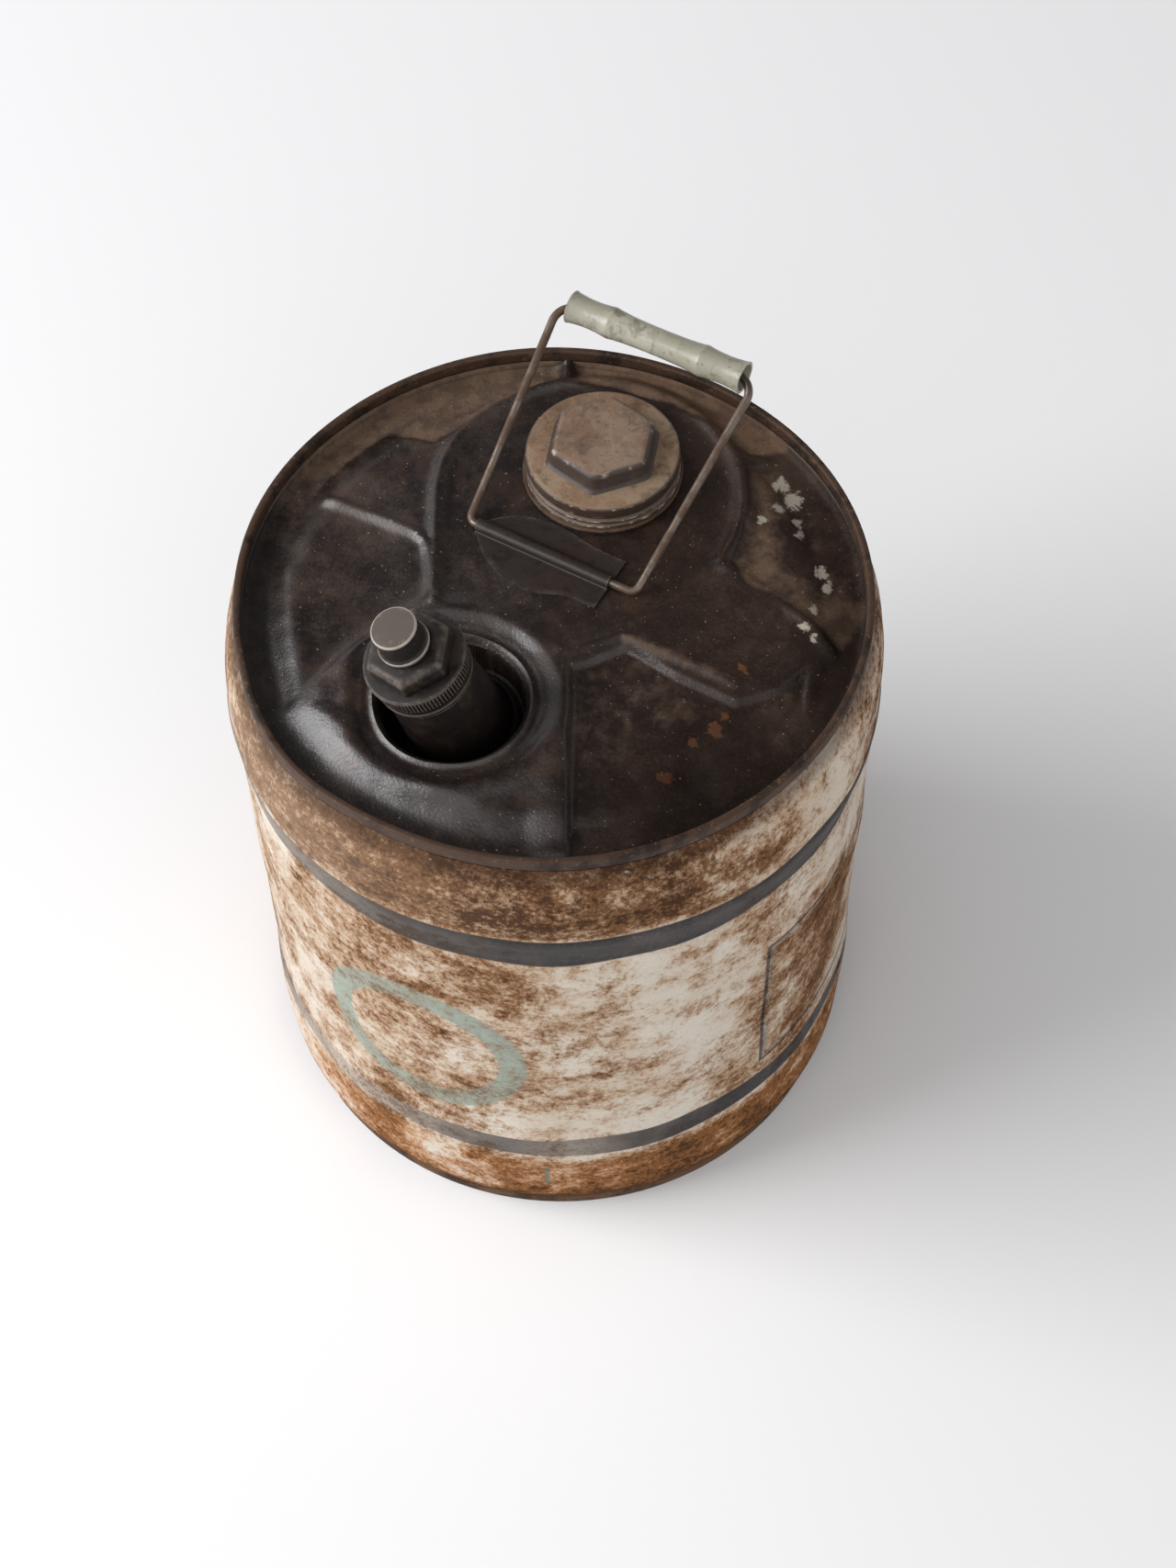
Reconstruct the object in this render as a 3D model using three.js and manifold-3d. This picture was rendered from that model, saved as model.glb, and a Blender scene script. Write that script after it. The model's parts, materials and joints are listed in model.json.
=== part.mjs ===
// Five gallon motor oil can: a welded steel drum with seamed heads, a hex fill cap,
// a leaning pour spout with a screwed closure, and a wire bail with a plastic grip.
// Millimetres, +Z up, the origin on the floor at the centre of the can.
// The front of the can faces -Y.

import * as THREE from "three";
import { mergeVertices } from "three/addons/utils/BufferGeometryUtils.js";
import Module from "manifold-3d";

const wasm = await Module();
wasm.setup();

// ---------------------------------------------------------------- driving dimensions

const CAN_HEIGHT = 327; // floor to the crest of the top chime
const SHEET = 0.7; // steel sheet of the shell and the heads
const GAP = 0.3; // clearance between two touching pieces
const ROUND = 48; // facets round the can
const SMALL_ROUND = 28; // facets round the fittings
const TINY_ROUND = 16; // facets round the grip and the bead

// Outside of the shell, from the bottom edge to the top edge: radius, height
const SHELL_PROFILE = [
  [141.3, 7], [143.6, 12], [145.8, 22], [147, 50], [146.3, 100], [147.8, 200], [147.9, 250],
  [150, 269], [150, 285], [149, 300], [147, 311], [143.5, 320],
];

// Rolled seams at the two ends of the shell
const TOP_CHIME = 140.2; // inner radius
const LOW_CHIME = 138;
const CHIME_WIDE = 3.6;
const CHIME_TALL = 6.7;
const CHIME_EDGE = 0.9; // rounding of the rolled edge
const SEAM = { flange: 1.4, line: 1.7, lineOut: 2.3 }; // outwards from the chime's inner face

// Top head: heights are measured down from the crest
const GUTTER_DROP = 12;
const PANEL_DROP = 6.5; // the flat top of the dome, and the round panel that carries the fittings
const DOME_RADIUS = 128;
const DOME_SHOULDER = 15;
const PANEL = { x: 18, y: 58, radius: 70, blend: 8 };

// Fill opening
const FILL = { x: 24, y: 72 };
const NECK_BORE = 28.5;
const NECK_OUT = 31.8;
const NECK_FLANGE = 37;
const CAP_OUT = 35.4;
const CAP_DISC_TOP = 10.3; // above the crest
const CAP_HEX_FLATS = 44.2;
const CAP_HEX_TALL = 10;
const CAP_HEX_TURN = 0.33; // radians

// Pour spout: it leans outwards over the front left of the can
const WELL = { x: -44, y: -54, radius: 31.4, lip: 44 };
const SPOUT_POINT = new THREE.Vector3(-44, -56, CAN_HEIGHT - 14); // a point on its axis
const SPOUT_LEAN = THREE.MathUtils.degToRad(17.3);
const SPOUT_HEADING = THREE.MathUtils.degToRad(200.3);
const SPOUT_SEAT = -16; // along the axis from SPOUT_POINT to the seat in the well
const SPOUT_TOP = 77.7; // along the axis to the top of the plug
const SEAT_RADIUS = 25.5;
const TUBE_BORE = 17.2;
const DISC_RADIUS = 23;
const DISC_BASE = 50;
const NUT_FLATS = 34;
const NUT_TURN = 0.35;
const PLUG_RADIUS = 10.4;
const PLUG_STEM = 6;
const STEM_HOLE = 6.5;

// Carrying handle
const HINGE = { x: 0, y: 21.7, drop: 3.9 };
const HINGE_HEADING = THREE.MathUtils.degToRad(-30.1);
const WIRE = 1.95; // wire radius
const BAIL_REACH = 109.4; // hinge axis to grip axis
const BAIL_TILT = THREE.MathUtils.degToRad(25.2); // above the head, at rest
const HINGE_HALF = 43.1;
const TOP_HALF = 50.6;
const GRIP_HALF = 44.5;
const HINGE_BEND = 4;
const TOP_BEND = 9;
const STRAP_LEFT = -38.5;
const STRAP_RIGHT = 30.2;
const BEAD_OUT = 3.1;

// ---------------------------------------------------------------- materials

const finishes = {
  paintedShell: { color: 0xb9a58c, roughness: 0.75, metalness: 0.1 },
  darkSteel: { color: 0x3a322e, roughness: 0.5, metalness: 0.5 },
  rustySteel: { color: 0x5d4a3d, roughness: 0.8, metalness: 0.4 },
  wireSteel: { color: 0x6a5b52, roughness: 0.45, metalness: 0.8 },
  dustyCap: { color: 0x6e5c4a, roughness: 0.8, metalness: 0.3 },
  blackSteel: { color: 0x241f1d, roughness: 0.45, metalness: 0.6 },
  greyGreenPlastic: { color: 0x93937f, roughness: 0.4, metalness: 0 },
  blackRubber: { color: 0x1b1b1b, roughness: 0.9, metalness: 0 },
  compound: { color: 0x4b4a44, roughness: 0.9, metalness: 0 },
};

// ---------------------------------------------------------------- geometry helpers

// Welds the vertices, drops the slivers on an axis and turns the faces outwards.
function closed(geometry) {
  for (const name of Object.keys(geometry.attributes)) {
    if (name !== "position") geometry.deleteAttribute(name);
  }
  const welded = mergeVertices(geometry, 1e-4);
  const index = welded.index.array;
  const kept = [];
  for (let i = 0; i < index.length; i += 3) {
    const [a, b, c] = [index[i], index[i + 1], index[i + 2]];
    if (a !== b && b !== c && c !== a) kept.push(a, b, c);
  }
  if (signedVolume(welded, kept) < 0) {
    for (let i = 0; i < kept.length; i += 3) {
      [kept[i + 1], kept[i + 2]] = [kept[i + 2], kept[i + 1]];
    }
  }
  welded.setIndex(kept);
  return welded;
}

function signedVolume(geometry, index) {
  const position = geometry.attributes.position;
  const corners = [new THREE.Vector3(), new THREE.Vector3(), new THREE.Vector3()];
  let total = 0;
  for (let i = 0; i < index.length; i += 3) {
    corners.forEach((corner, k) => corner.fromBufferAttribute(position, index[i + k]));
    total += corners[0].dot(corners[1].clone().cross(corners[2])) / 6;
  }
  return total;
}

// A solid of revolution about Z; the profile lists radius and height.
function lathe(profile, facets = ROUND) {
  const points = profile.map(([r, z]) => new THREE.Vector2(r, z));
  return closed(new THREE.LatheGeometry(points, facets).rotateX(Math.PI / 2));
}

function ring(inner, outer, bottom, top, facets = ROUND) {
  const profile = [[inner, bottom], [outer, bottom], [outer, top], [inner, top]];
  return lathe([...profile, profile[0]], facets);
}

function rod(radius, bottom, top, facets = SMALL_ROUND) {
  return lathe([[0, bottom], [radius, bottom], [radius, top], [0, top]], facets);
}

// A hexagonal prism with its edges taken off by a cone at the top.
function hexagon(flats, bottom, top, chamfer) {
  const corner = flats / Math.sqrt(3);
  const shape = new THREE.Shape();
  for (let i = 0; i < 6; i++) {
    const angle = (i * Math.PI) / 3;
    const point = [corner * Math.cos(angle), corner * Math.sin(angle)];
    if (i === 0) shape.moveTo(...point);
    else shape.lineTo(...point);
  }
  const prism = new THREE.ExtrudeGeometry(shape, { depth: top - bottom, bevelEnabled: false });
  const cone = lathe(
    [[0, bottom - 1], [corner + 2, bottom - 1], [corner + 2, top - chamfer],
     [flats / 2 - chamfer, top], [0, top]],
    SMALL_ROUND,
  );
  return cut(closed(prism.translate(0, 0, bottom)), { keep: [cone] });
}

function toManifold(geometry) {
  return new wasm.Manifold(new wasm.Mesh({
    numProp: 3,
    vertProperties: new Float32Array(geometry.attributes.position.array),
    triVerts: new Uint32Array(geometry.index.array),
  }));
}

// Joins, trims and drills a solid, in that order.
function cut(geometry, { add = [], keep = [], remove = [] }) {
  let solid = toManifold(geometry);
  for (const other of add) solid = solid.add(toManifold(other));
  for (const other of keep) solid = solid.intersect(toManifold(other));
  for (const other of remove) solid = solid.subtract(toManifold(other));
  const mesh = solid.getMesh();
  const result = new THREE.BufferGeometry();
  result.setAttribute("position", new THREE.BufferAttribute(mesh.vertProperties, 3));
  result.setIndex(Array.from(mesh.triVerts));
  return closed(result);
}

function smooth(edge0, edge1, value) {
  return THREE.MathUtils.smoothstep(value, edge0, edge1);
}

// A path through listed points; the sweep takes a section at each of them.
class PointPath extends THREE.Curve {
  constructor(points) {
    super();
    this.points = points;
  }

  getPoint(t, target = new THREE.Vector3()) {
    const place = t * (this.points.length - 1);
    const low = Math.min(Math.floor(place + 1e-9), this.points.length - 2);
    return target.lerpVectors(this.points[low], this.points[low + 1], place - low);
  }

  getPointAt(u, target) {
    return this.getPoint(u, target);
  }

  getTangentAt(u, target = new THREE.Vector3()) {
    const last = this.points.length - 1;
    const here = Math.round(u * last);
    const before = this.points[Math.max(here - 1, 0)];
    const after = this.points[Math.min(here + 1, last)];
    return target.subVectors(after, before).normalize();
  }
}

// A flat polyline with each inner corner replaced by an arc of its own radius.
function roundedPath(corners, radii, steps) {
  const path = [corners[0].clone()];
  for (let i = 1; i < corners.length - 1; i++) {
    const into = corners[i].clone().sub(corners[i - 1]).normalize();
    const out = corners[i + 1].clone().sub(corners[i]).normalize();
    const turn = into.angleTo(out);
    const radius = radii[i - 1];
    const trim = radius * Math.tan(turn / 2);
    const start = corners[i].clone().addScaledVector(into, -trim);
    const inward = out.clone().addScaledVector(into, -Math.cos(turn)).normalize();
    const centre = start.clone().addScaledVector(inward, radius);
    for (let k = 0; k <= steps; k++) {
      const angle = (turn * k) / steps;
      path.push(
        centre.clone()
          .addScaledVector(inward, -radius * Math.cos(angle))
          .addScaledVector(into, radius * Math.sin(angle)),
      );
    }
  }
  path.push(corners[corners.length - 1].clone());
  return path;
}

// ---------------------------------------------------------------- the can

function insideOf(profile) {
  return profile.map(([r, z]) => [r - SHEET, z]);
}

function bodyShell() {
  const inside = insideOf(SHELL_PROFILE).reverse();
  return lathe([...SHELL_PROFILE, ...inside, SHELL_PROFILE[0]]);
}

// The rolled seam. The bottom one stands on a flat ring.
function chime(inner, bottom) {
  const e = CHIME_EDGE;
  const outer = inner + CHIME_WIDE;
  const top = bottom + CHIME_TALL;
  const profile = [
    [inner, bottom + e], [inner + e, bottom], [outer - e, bottom], [outer, bottom + e],
    [outer, top - e], [outer - e, top], [inner + e, top], [inner, top - e],
  ];
  return lathe([...profile, profile[0]]);
}

// The sealing compound between the head's flange and the shell.
function seamCompound(inner, bottom, top) {
  return ring(inner + SEAM.line, inner + SEAM.lineOut, bottom, top);
}

const SEAM_BASE = CAN_HEIGHT - CHIME_TALL; // underside of the top chime

function bottomHead() {
  const rise = 10; // the dished panel's height above the floor
  const edge = LOW_CHIME + SEAM.flange;
  const outside = [
    [0, rise + 2], [90, rise + 1], [edge - 14, rise], [edge - 8, rise + 3], [edge - 2, rise + 3.6],
    [edge, rise + 1.6], [edge, CHIME_TALL + GAP],
  ];
  const inside = [
    [edge - SHEET, CHIME_TALL + GAP], [edge - SHEET, rise + 1.3], [edge - 2.3, rise + 2.9],
    [edge - 7.7, rise + 2.3], [edge - 13.7, rise - SHEET], [90, rise + 1 - SHEET],
    [0, rise + 2 - SHEET],
  ];
  return lathe([...outside, ...inside]);
}

// Height of the top head's upper face, without the spout well.
function headHeight(x, y) {
  const r = Math.hypot(x, y);
  const gutter = CAN_HEIGHT - GUTTER_DROP;
  const rise = GUTTER_DROP - PANEL_DROP;
  const dome = gutter + rise * (1 - smooth(DOME_RADIUS - DOME_SHOULDER, DOME_RADIUS, r));
  const fromPanel = Math.hypot(x - PANEL.x, y - PANEL.y);
  const outside = smooth(PANEL.radius, PANEL.radius + PANEL.blend, fromPanel);
  const panel = CAN_HEIGHT - PANEL_DROP;
  const fromWell = Math.hypot(x - WELL.x, y - WELL.y) - WELL.lip;
  const lip = 2.4 * Math.exp(-((fromWell / 7) ** 2));
  return panel + (dome + lip - panel) * outside;
}

// The pressed sheet inside the seam: two faces on one polar grid and the upright flange.
function headSheet() {
  const facets = ROUND;
  const edge = TOP_CHIME + SEAM.flange;
  const radii = [20, 45, 70, 88, 104, 112, 117, 122, 127, 131, 138];
  const vertices = [0, 0, headHeight(0, 0), 0, 0, headHeight(0, 0) - SHEET];
  const rims = [
    [edge - SHEET, CAN_HEIGHT - GUTTER_DROP + 1.4, edge, CAN_HEIGHT - GUTTER_DROP + 0.4],
    [edge - SHEET, SEAM_BASE - GAP, edge, SEAM_BASE - GAP],
  ];
  const rows = radii.length + rims.length;
  for (let row = 0; row < rows; row++) {
    for (let i = 0; i < facets; i++) {
      const angle = (2 * Math.PI * i) / facets;
      const [c, s] = [Math.cos(angle), Math.sin(angle)];
      if (row < radii.length) {
        const r = radii[row];
        const z = headHeight(r * c, r * s);
        vertices.push(r * c, r * s, z, r * c, r * s, z - SHEET);
      } else {
        const [inR, inZ, outR, outZ] = rims[row - radii.length];
        vertices.push(inR * c, inR * s, inZ, outR * c, outR * s, outZ);
      }
    }
  }
  const at = (row, i, under) => 2 + 2 * (row * facets + (i % facets)) + under;
  const index = [];
  for (let i = 0; i < facets; i++) {
    index.push(0, at(0, i, 0), at(0, i + 1, 0), 1, at(0, i + 1, 1), at(0, i, 1));
    for (let row = 0; row + 1 < rows; row++) {
      const [a, b] = [at(row, i, 0), at(row, i + 1, 0)];
      const [c, d] = [at(row + 1, i, 0), at(row + 1, i + 1, 0)];
      index.push(a, c, d, a, d, b);
      index.push(a + 1, d + 1, c + 1, a + 1, b + 1, d + 1);
    }
    const [top, next] = [at(rows - 1, i, 0), at(rows - 1, i + 1, 0)];
    index.push(top, top + 1, next + 1, top, next + 1, next);
  }
  const geometry = new THREE.BufferGeometry();
  geometry.setAttribute("position", new THREE.Float32BufferAttribute(vertices, 3));
  geometry.setIndex(index);
  return closed(geometry);
}

// ---------------------------------------------------------------- the spout's own frame

const spoutAxis = new THREE.Vector3(
  Math.sin(SPOUT_LEAN) * Math.cos(SPOUT_HEADING),
  Math.sin(SPOUT_LEAN) * Math.sin(SPOUT_HEADING),
  Math.cos(SPOUT_LEAN),
);
const spoutTurn = new THREE.Quaternion().setFromUnitVectors(
  new THREE.Vector3(0, 0, 1), spoutAxis,
);

// Moves a solid from the spout's frame, Z along its axis, into the can's frame.
function alongSpout(geometry) {
  const moved = geometry.clone().applyQuaternion(spoutTurn);
  return moved.translate(SPOUT_POINT.x, SPOUT_POINT.y, SPOUT_POINT.z);
}

function topHead() {
  const mouthTop = CAN_HEIGHT + 20;
  const cupTop = CAN_HEIGHT - PANEL_DROP - 0.2;
  const deep = CAN_HEIGHT - 60;
  const seat = SPOUT_SEAT - GAP;
  const above = (level) => alongSpout(rod(90, level, level + 200));
  const upright = (radius, bottom, top) =>
    rod(radius, bottom, top, ROUND).translate(WELL.x, WELL.y, 0);
  const cup = cut(upright(WELL.radius + SHEET, deep, cupTop), { keep: [above(seat - SHEET)] });
  const hollow = cut(upright(WELL.radius, deep, mouthTop), { keep: [above(seat)] });
  const outlet = alongSpout(rod(TUBE_BORE, seat - 10, seat + 10));
  const fillHole = rod(NECK_BORE + 2.1, CAN_HEIGHT - 30, mouthTop).translate(FILL.x, FILL.y, 0);
  return cut(headSheet(), { add: [cup], remove: [hollow, outlet, fillHole] });
}

// ---------------------------------------------------------------- fill opening

const PANEL_Z = CAN_HEIGHT - PANEL_DROP;
const NECK_GASKET_TALL = 1;
const FLANGE_BASE = PANEL_Z + GAP + NECK_GASKET_TALL + GAP;
const FLANGE_TOP = FLANGE_BASE + 1.4;
const CAP_TOP = CAN_HEIGHT + CAP_DISC_TOP;
const CAP_PLATE = 2;
const CAP_GASKET_TALL = 1.2;
const NECK_TOP = CAP_TOP - CAP_PLATE - CAP_GASKET_TALL - 2 * GAP;

function fillNeck() {
  const low = NECK_BORE + 1.7;
  const profile = [
    [NECK_BORE, PANEL_Z - 12], [low, PANEL_Z - 12], [low, FLANGE_BASE],
    [NECK_FLANGE, FLANGE_BASE], [NECK_FLANGE, FLANGE_TOP], [NECK_OUT, FLANGE_TOP],
    [NECK_OUT, NECK_TOP], [NECK_BORE, NECK_TOP],
  ];
  return lathe([...profile, profile[0]], SMALL_ROUND);
}

function fillCap() {
  const base = FLANGE_TOP + GAP;
  const inner = NECK_OUT + 0.7;
  const ceiling = CAP_TOP - CAP_PLATE;
  const edge = 1.6;
  const groove = CAP_OUT - 1.6;
  const profile = [
    [inner, base], [CAP_OUT - 0.4, base], [CAP_OUT - 0.4, base + 1.6], [groove, base + 2.6],
    [groove, base + 3.4], [CAP_OUT - 0.4, base + 4.4], [groove, base + 5.6],
    [CAP_OUT, base + 6.8], [CAP_OUT, CAP_TOP - edge], [CAP_OUT - edge, CAP_TOP],
    [0, CAP_TOP], [0, ceiling], [inner, ceiling],
  ];
  const skirt = lathe([...profile, profile[0]], SMALL_ROUND);
  const hexTop = CAP_TOP + CAP_HEX_TALL;
  const hex = hexagon(CAP_HEX_FLATS, CAP_TOP - 0.5, hexTop, 1.5);
  const hollow = hexagon(CAP_HEX_FLATS - 4, ceiling - 1, hexTop - 1.6, 1.5);
  return cut(skirt, { add: [hex.rotateZ(CAP_HEX_TURN)], remove: [hollow.rotateZ(CAP_HEX_TURN)] });
}

// ---------------------------------------------------------------- pour spout

const TUBE_SHOULDER = 36;
const TUBE_LIP = 46.5;

function spoutTube() {
  const base = SPOUT_SEAT + 2 * GAP + 1;
  const profile = [
    [TUBE_BORE, base], [SEAT_RADIUS, base], [SEAT_RADIUS, base + 1.5], [23.6, base + 2],
    [22.6, base + 12], [21.2, 20], [20.6, TUBE_SHOULDER - GAP], [19, TUBE_SHOULDER - GAP],
    [19, TUBE_LIP], [TUBE_BORE, TUBE_LIP],
  ];
  return lathe([...profile, profile[0]], SMALL_ROUND);
}

// The clamping ring round the spout's foot
function seatRing() {
  const base = SPOUT_SEAT + 2 * GAP + 1 + 1.5 + GAP;
  const profile = [
    [24.7, base], [26.8, base], [26.8, base + 1.2], [25.8, base + 2.2], [24.7, base + 2.2],
  ];
  return lathe([...profile, profile[0]], SMALL_ROUND);
}

// The knurl's teeth stand on every second facet.
function spoutCollar() {
  const top = DISC_BASE - GAP;
  const knurlBase = top - 7;
  const teeth = 2 * SMALL_ROUND;
  const shape = new THREE.Shape();
  for (let i = 0; i < teeth; i++) {
    const r = i % 2 ? 21.6 : 22.4;
    const angle = (2 * Math.PI * i) / teeth;
    if (i === 0) shape.moveTo(r * Math.cos(angle), r * Math.sin(angle));
    else shape.lineTo(r * Math.cos(angle), r * Math.sin(angle));
  }
  const depth = top - knurlBase;
  const knurl = new THREE.ExtrudeGeometry(shape, { depth, bevelEnabled: false });
  const skirt = ring(19.5, 21.6, TUBE_SHOULDER, knurlBase + 0.5, SMALL_ROUND);
  const bore = rod(19.5, knurlBase - 1, top + 1);
  const drilled = cut(closed(knurl.translate(0, 0, knurlBase)), { remove: [bore] });
  return cut(skirt, { add: [drilled] });
}

function spoutDisc() {
  const profile = [
    [STEM_HOLE, DISC_BASE], [DISC_RADIUS - 0.6, DISC_BASE], [DISC_RADIUS, DISC_BASE + 0.7],
    [DISC_RADIUS, DISC_BASE + 1.5], [DISC_RADIUS - 0.8, DISC_BASE + 2.2],
    [STEM_HOLE, DISC_BASE + 2.2],
  ];
  return lathe([...profile, profile[0]], SMALL_ROUND);
}

const NUT_BASE = DISC_BASE + 2.2 + GAP;
const NUT_TOP = NUT_BASE + 9.5;
const PLUG_BASE = NUT_TOP + GAP + 1 + GAP;

function spoutNut() {
  const hole = rod(STEM_HOLE, NUT_BASE - 1, NUT_TOP + 1, TINY_ROUND);
  const hex = hexagon(NUT_FLATS, NUT_BASE, NUT_TOP, 2).rotateZ(NUT_TURN);
  return cut(hex, { remove: [hole] });
}

function spoutPlug() {
  const collarTop = PLUG_BASE + 2;
  const edge = 0.8;
  return lathe(
    [
      [0, DISC_BASE + 1], [PLUG_STEM, DISC_BASE + 1], [PLUG_STEM, PLUG_BASE],
      [PLUG_RADIUS + 1.2, PLUG_BASE], [PLUG_RADIUS + 1.2, collarTop - 0.6],
      [PLUG_RADIUS, collarTop], [PLUG_RADIUS, SPOUT_TOP - edge],
      [PLUG_RADIUS - edge, SPOUT_TOP], [0, SPOUT_TOP],
    ],
    SMALL_ROUND,
  );
}

// ---------------------------------------------------------------- carrying handle

// The pressed plate under the bead: a lens that ends in a square tab on the right.
function handleStrap() {
  const base = PANEL_Z + GAP;
  const top = base + 0.9;
  const tab = 14.8;
  const outline = new THREE.Shape();
  outline.moveTo(STRAP_LEFT, -1.5);
  outline.bezierCurveTo(-31, -12, -20, -21, -4, -21);
  outline.bezierCurveTo(8, -21, 10, -tab, 20, -tab);
  outline.lineTo(STRAP_RIGHT, -tab);
  outline.lineTo(STRAP_RIGHT, tab);
  outline.lineTo(20, tab);
  outline.bezierCurveTo(10, tab, 2, 18, -8, 18);
  outline.bezierCurveTo(-22, 18, -33, 12, STRAP_LEFT, 1.5);
  const depth = top - base;
  const plate = new THREE.ExtrudeGeometry(outline, { depth, bevelEnabled: false, curveSegments: 6 });
  const length = STRAP_RIGHT - STRAP_LEFT;
  const across = (radius, grow) =>
    rod(radius, STRAP_LEFT - grow, STRAP_LEFT + length + grow, TINY_ROUND)
      .rotateY(Math.PI / 2)
      .translate(0, 0, CAN_HEIGHT - HINGE.drop);
  const under = closed(new THREE.BoxGeometry(200, 100, 20).translate(0, 0, base - 10));
  return cut(closed(plate.translate(0, 0, base)), {
    add: [across(BEAD_OUT, 0)],
    remove: [across(WIRE + GAP, 5), under],
  });
}

// The wire's ends meet inside the strap's bead.
function bailWire() {
  const split = 0.4;
  const corners = [
    [split, 0], [HINGE_HALF, 0], [TOP_HALF, BAIL_REACH],
    [-TOP_HALF, BAIL_REACH], [-HINGE_HALF, 0], [-split, 0],
  ].map(([x, y]) => new THREE.Vector3(x, y, 0));
  const path = roundedPath(corners, [HINGE_BEND, TOP_BEND, TOP_BEND, HINGE_BEND], 5);
  const section = new THREE.Shape();
  section.absarc(0, 0, WIRE, 0, 2 * Math.PI);
  const sweep = new THREE.ExtrudeGeometry(section, {
    steps: path.length - 1,
    curveSegments: 5,
    extrudePath: new PointPath(path),
  });
  return closed(sweep);
}

function handleGrip() {
  const wall = 1.4;
  const node = GRIP_HALF - 21; // where the two node rings stand
  const outside = [
    [7.7, -GRIP_HALF], [6.5, -GRIP_HALF + 10], [7.5, -node], [6.2, -node + 12],
    [6.2, node - 12], [7.5, node], [6.5, GRIP_HALF - 10], [7.7, GRIP_HALF],
  ];
  const inside = outside.map(([r, z]) => [r - wall, z]).reverse();
  return lathe([...outside, ...inside, outside[0]], TINY_ROUND).rotateY(Math.PI / 2);
}

// ---------------------------------------------------------------- assembly

function piece(name, geometry, finish) {
  const flat = geometry.toNonIndexed();
  flat.computeVertexNormals();
  const mesh = new THREE.Mesh(flat, new THREE.MeshStandardMaterial(finishes[finish]));
  mesh.name = name;
  return mesh;
}

function groupOf(...meshes) {
  const group = new THREE.Group();
  group.add(...meshes);
  return group;
}

const can = groupOf(
  piece("body_shell", bodyShell(), "paintedShell"),
  piece("bottom_head", bottomHead(), "darkSteel"),
  piece("bottom_chime", chime(LOW_CHIME, 0), "rustySteel"),
  piece("bottom_seam_compound", seamCompound(LOW_CHIME, CHIME_TALL + GAP, 11), "compound"),
  piece("top_head", topHead(), "darkSteel"),
  piece("top_chime", chime(TOP_CHIME, SEAM_BASE), "rustySteel"),
  piece(
    "top_seam_compound",
    seamCompound(TOP_CHIME, CAN_HEIGHT - GUTTER_DROP + 1, SEAM_BASE - GAP),
    "compound",
  ),
);

const gasketBase = PANEL_Z + GAP;
const capGasketBase = NECK_TOP + GAP;
const fillOpening = groupOf(
  piece("fill_neck", fillNeck(), "dustyCap"),
  piece(
    "fill_neck_gasket",
    ring(NECK_BORE + 2, NECK_FLANGE - 0.8, gasketBase, gasketBase + NECK_GASKET_TALL, SMALL_ROUND),
    "blackRubber",
  ),
  piece("fill_cap", fillCap(), "dustyCap"),
  piece(
    "fill_cap_gasket",
    ring(NECK_BORE, NECK_OUT, capGasketBase, capGasketBase + CAP_GASKET_TALL, SMALL_ROUND),
    "blackRubber",
  ),
);
fillOpening.position.set(FILL.x, FILL.y, 0);

const spout = groupOf(
  piece("spout_gasket", ring(TUBE_BORE, SEAT_RADIUS, SPOUT_SEAT, SPOUT_SEAT + 1, SMALL_ROUND), "blackRubber"),
  piece("spout_seat_ring", seatRing(), "blackSteel"),
  piece("spout_tube", spoutTube(), "blackSteel"),
  piece("spout_collar", spoutCollar(), "blackSteel"),
  piece(
    "spout_closure_gasket",
    ring(TUBE_BORE - 4, 19.2, TUBE_LIP + GAP, DISC_BASE - GAP, SMALL_ROUND),
    "blackRubber",
  ),
  piece("spout_disc", spoutDisc(), "dustyCap"),
  piece("spout_nut", spoutNut(), "blackSteel"),
  piece(
    "spout_plug_washer",
    ring(STEM_HOLE + 0.4, PLUG_RADIUS + 0.8, NUT_TOP + GAP, NUT_TOP + GAP + 1, TINY_ROUND),
    "blackRubber",
  ),
  piece("spout_plug", spoutPlug(), "blackSteel"),
);
spout.position.copy(SPOUT_POINT);
spout.quaternion.copy(spoutTurn);

const strap = groupOf(piece("handle_strap", handleStrap(), "darkSteel"));
const bail = groupOf(piece("bail_wire", bailWire(), "wireSteel"));
bail.rotation.x = BAIL_TILT;
bail.position.z = CAN_HEIGHT - HINGE.drop;
const grip = groupOf(piece("handle_grip", handleGrip(), "greyGreenPlastic"));
grip.position.y = BAIL_REACH;
bail.add(grip);
const handle = groupOf(strap, bail);
handle.position.set(HINGE.x, HINGE.y, 0);
handle.rotation.z = HINGE_HEADING;

const oilCan = new THREE.Group();
oilCan.add(can, fillOpening, spout, handle);

export default oilCan;
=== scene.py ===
"""Looks of the motor oil can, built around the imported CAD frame.

Shapes are worked out in millimetres in the can's own frame (origin on the floor, +Z up, the
front facing -Y) and turned into metres when a mesh is made.
"""
import json
import math

import bpy
import numpy as np
from mathutils import Matrix, Vector
from mathutils.geometry import delaunay_2d_cdt


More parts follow.
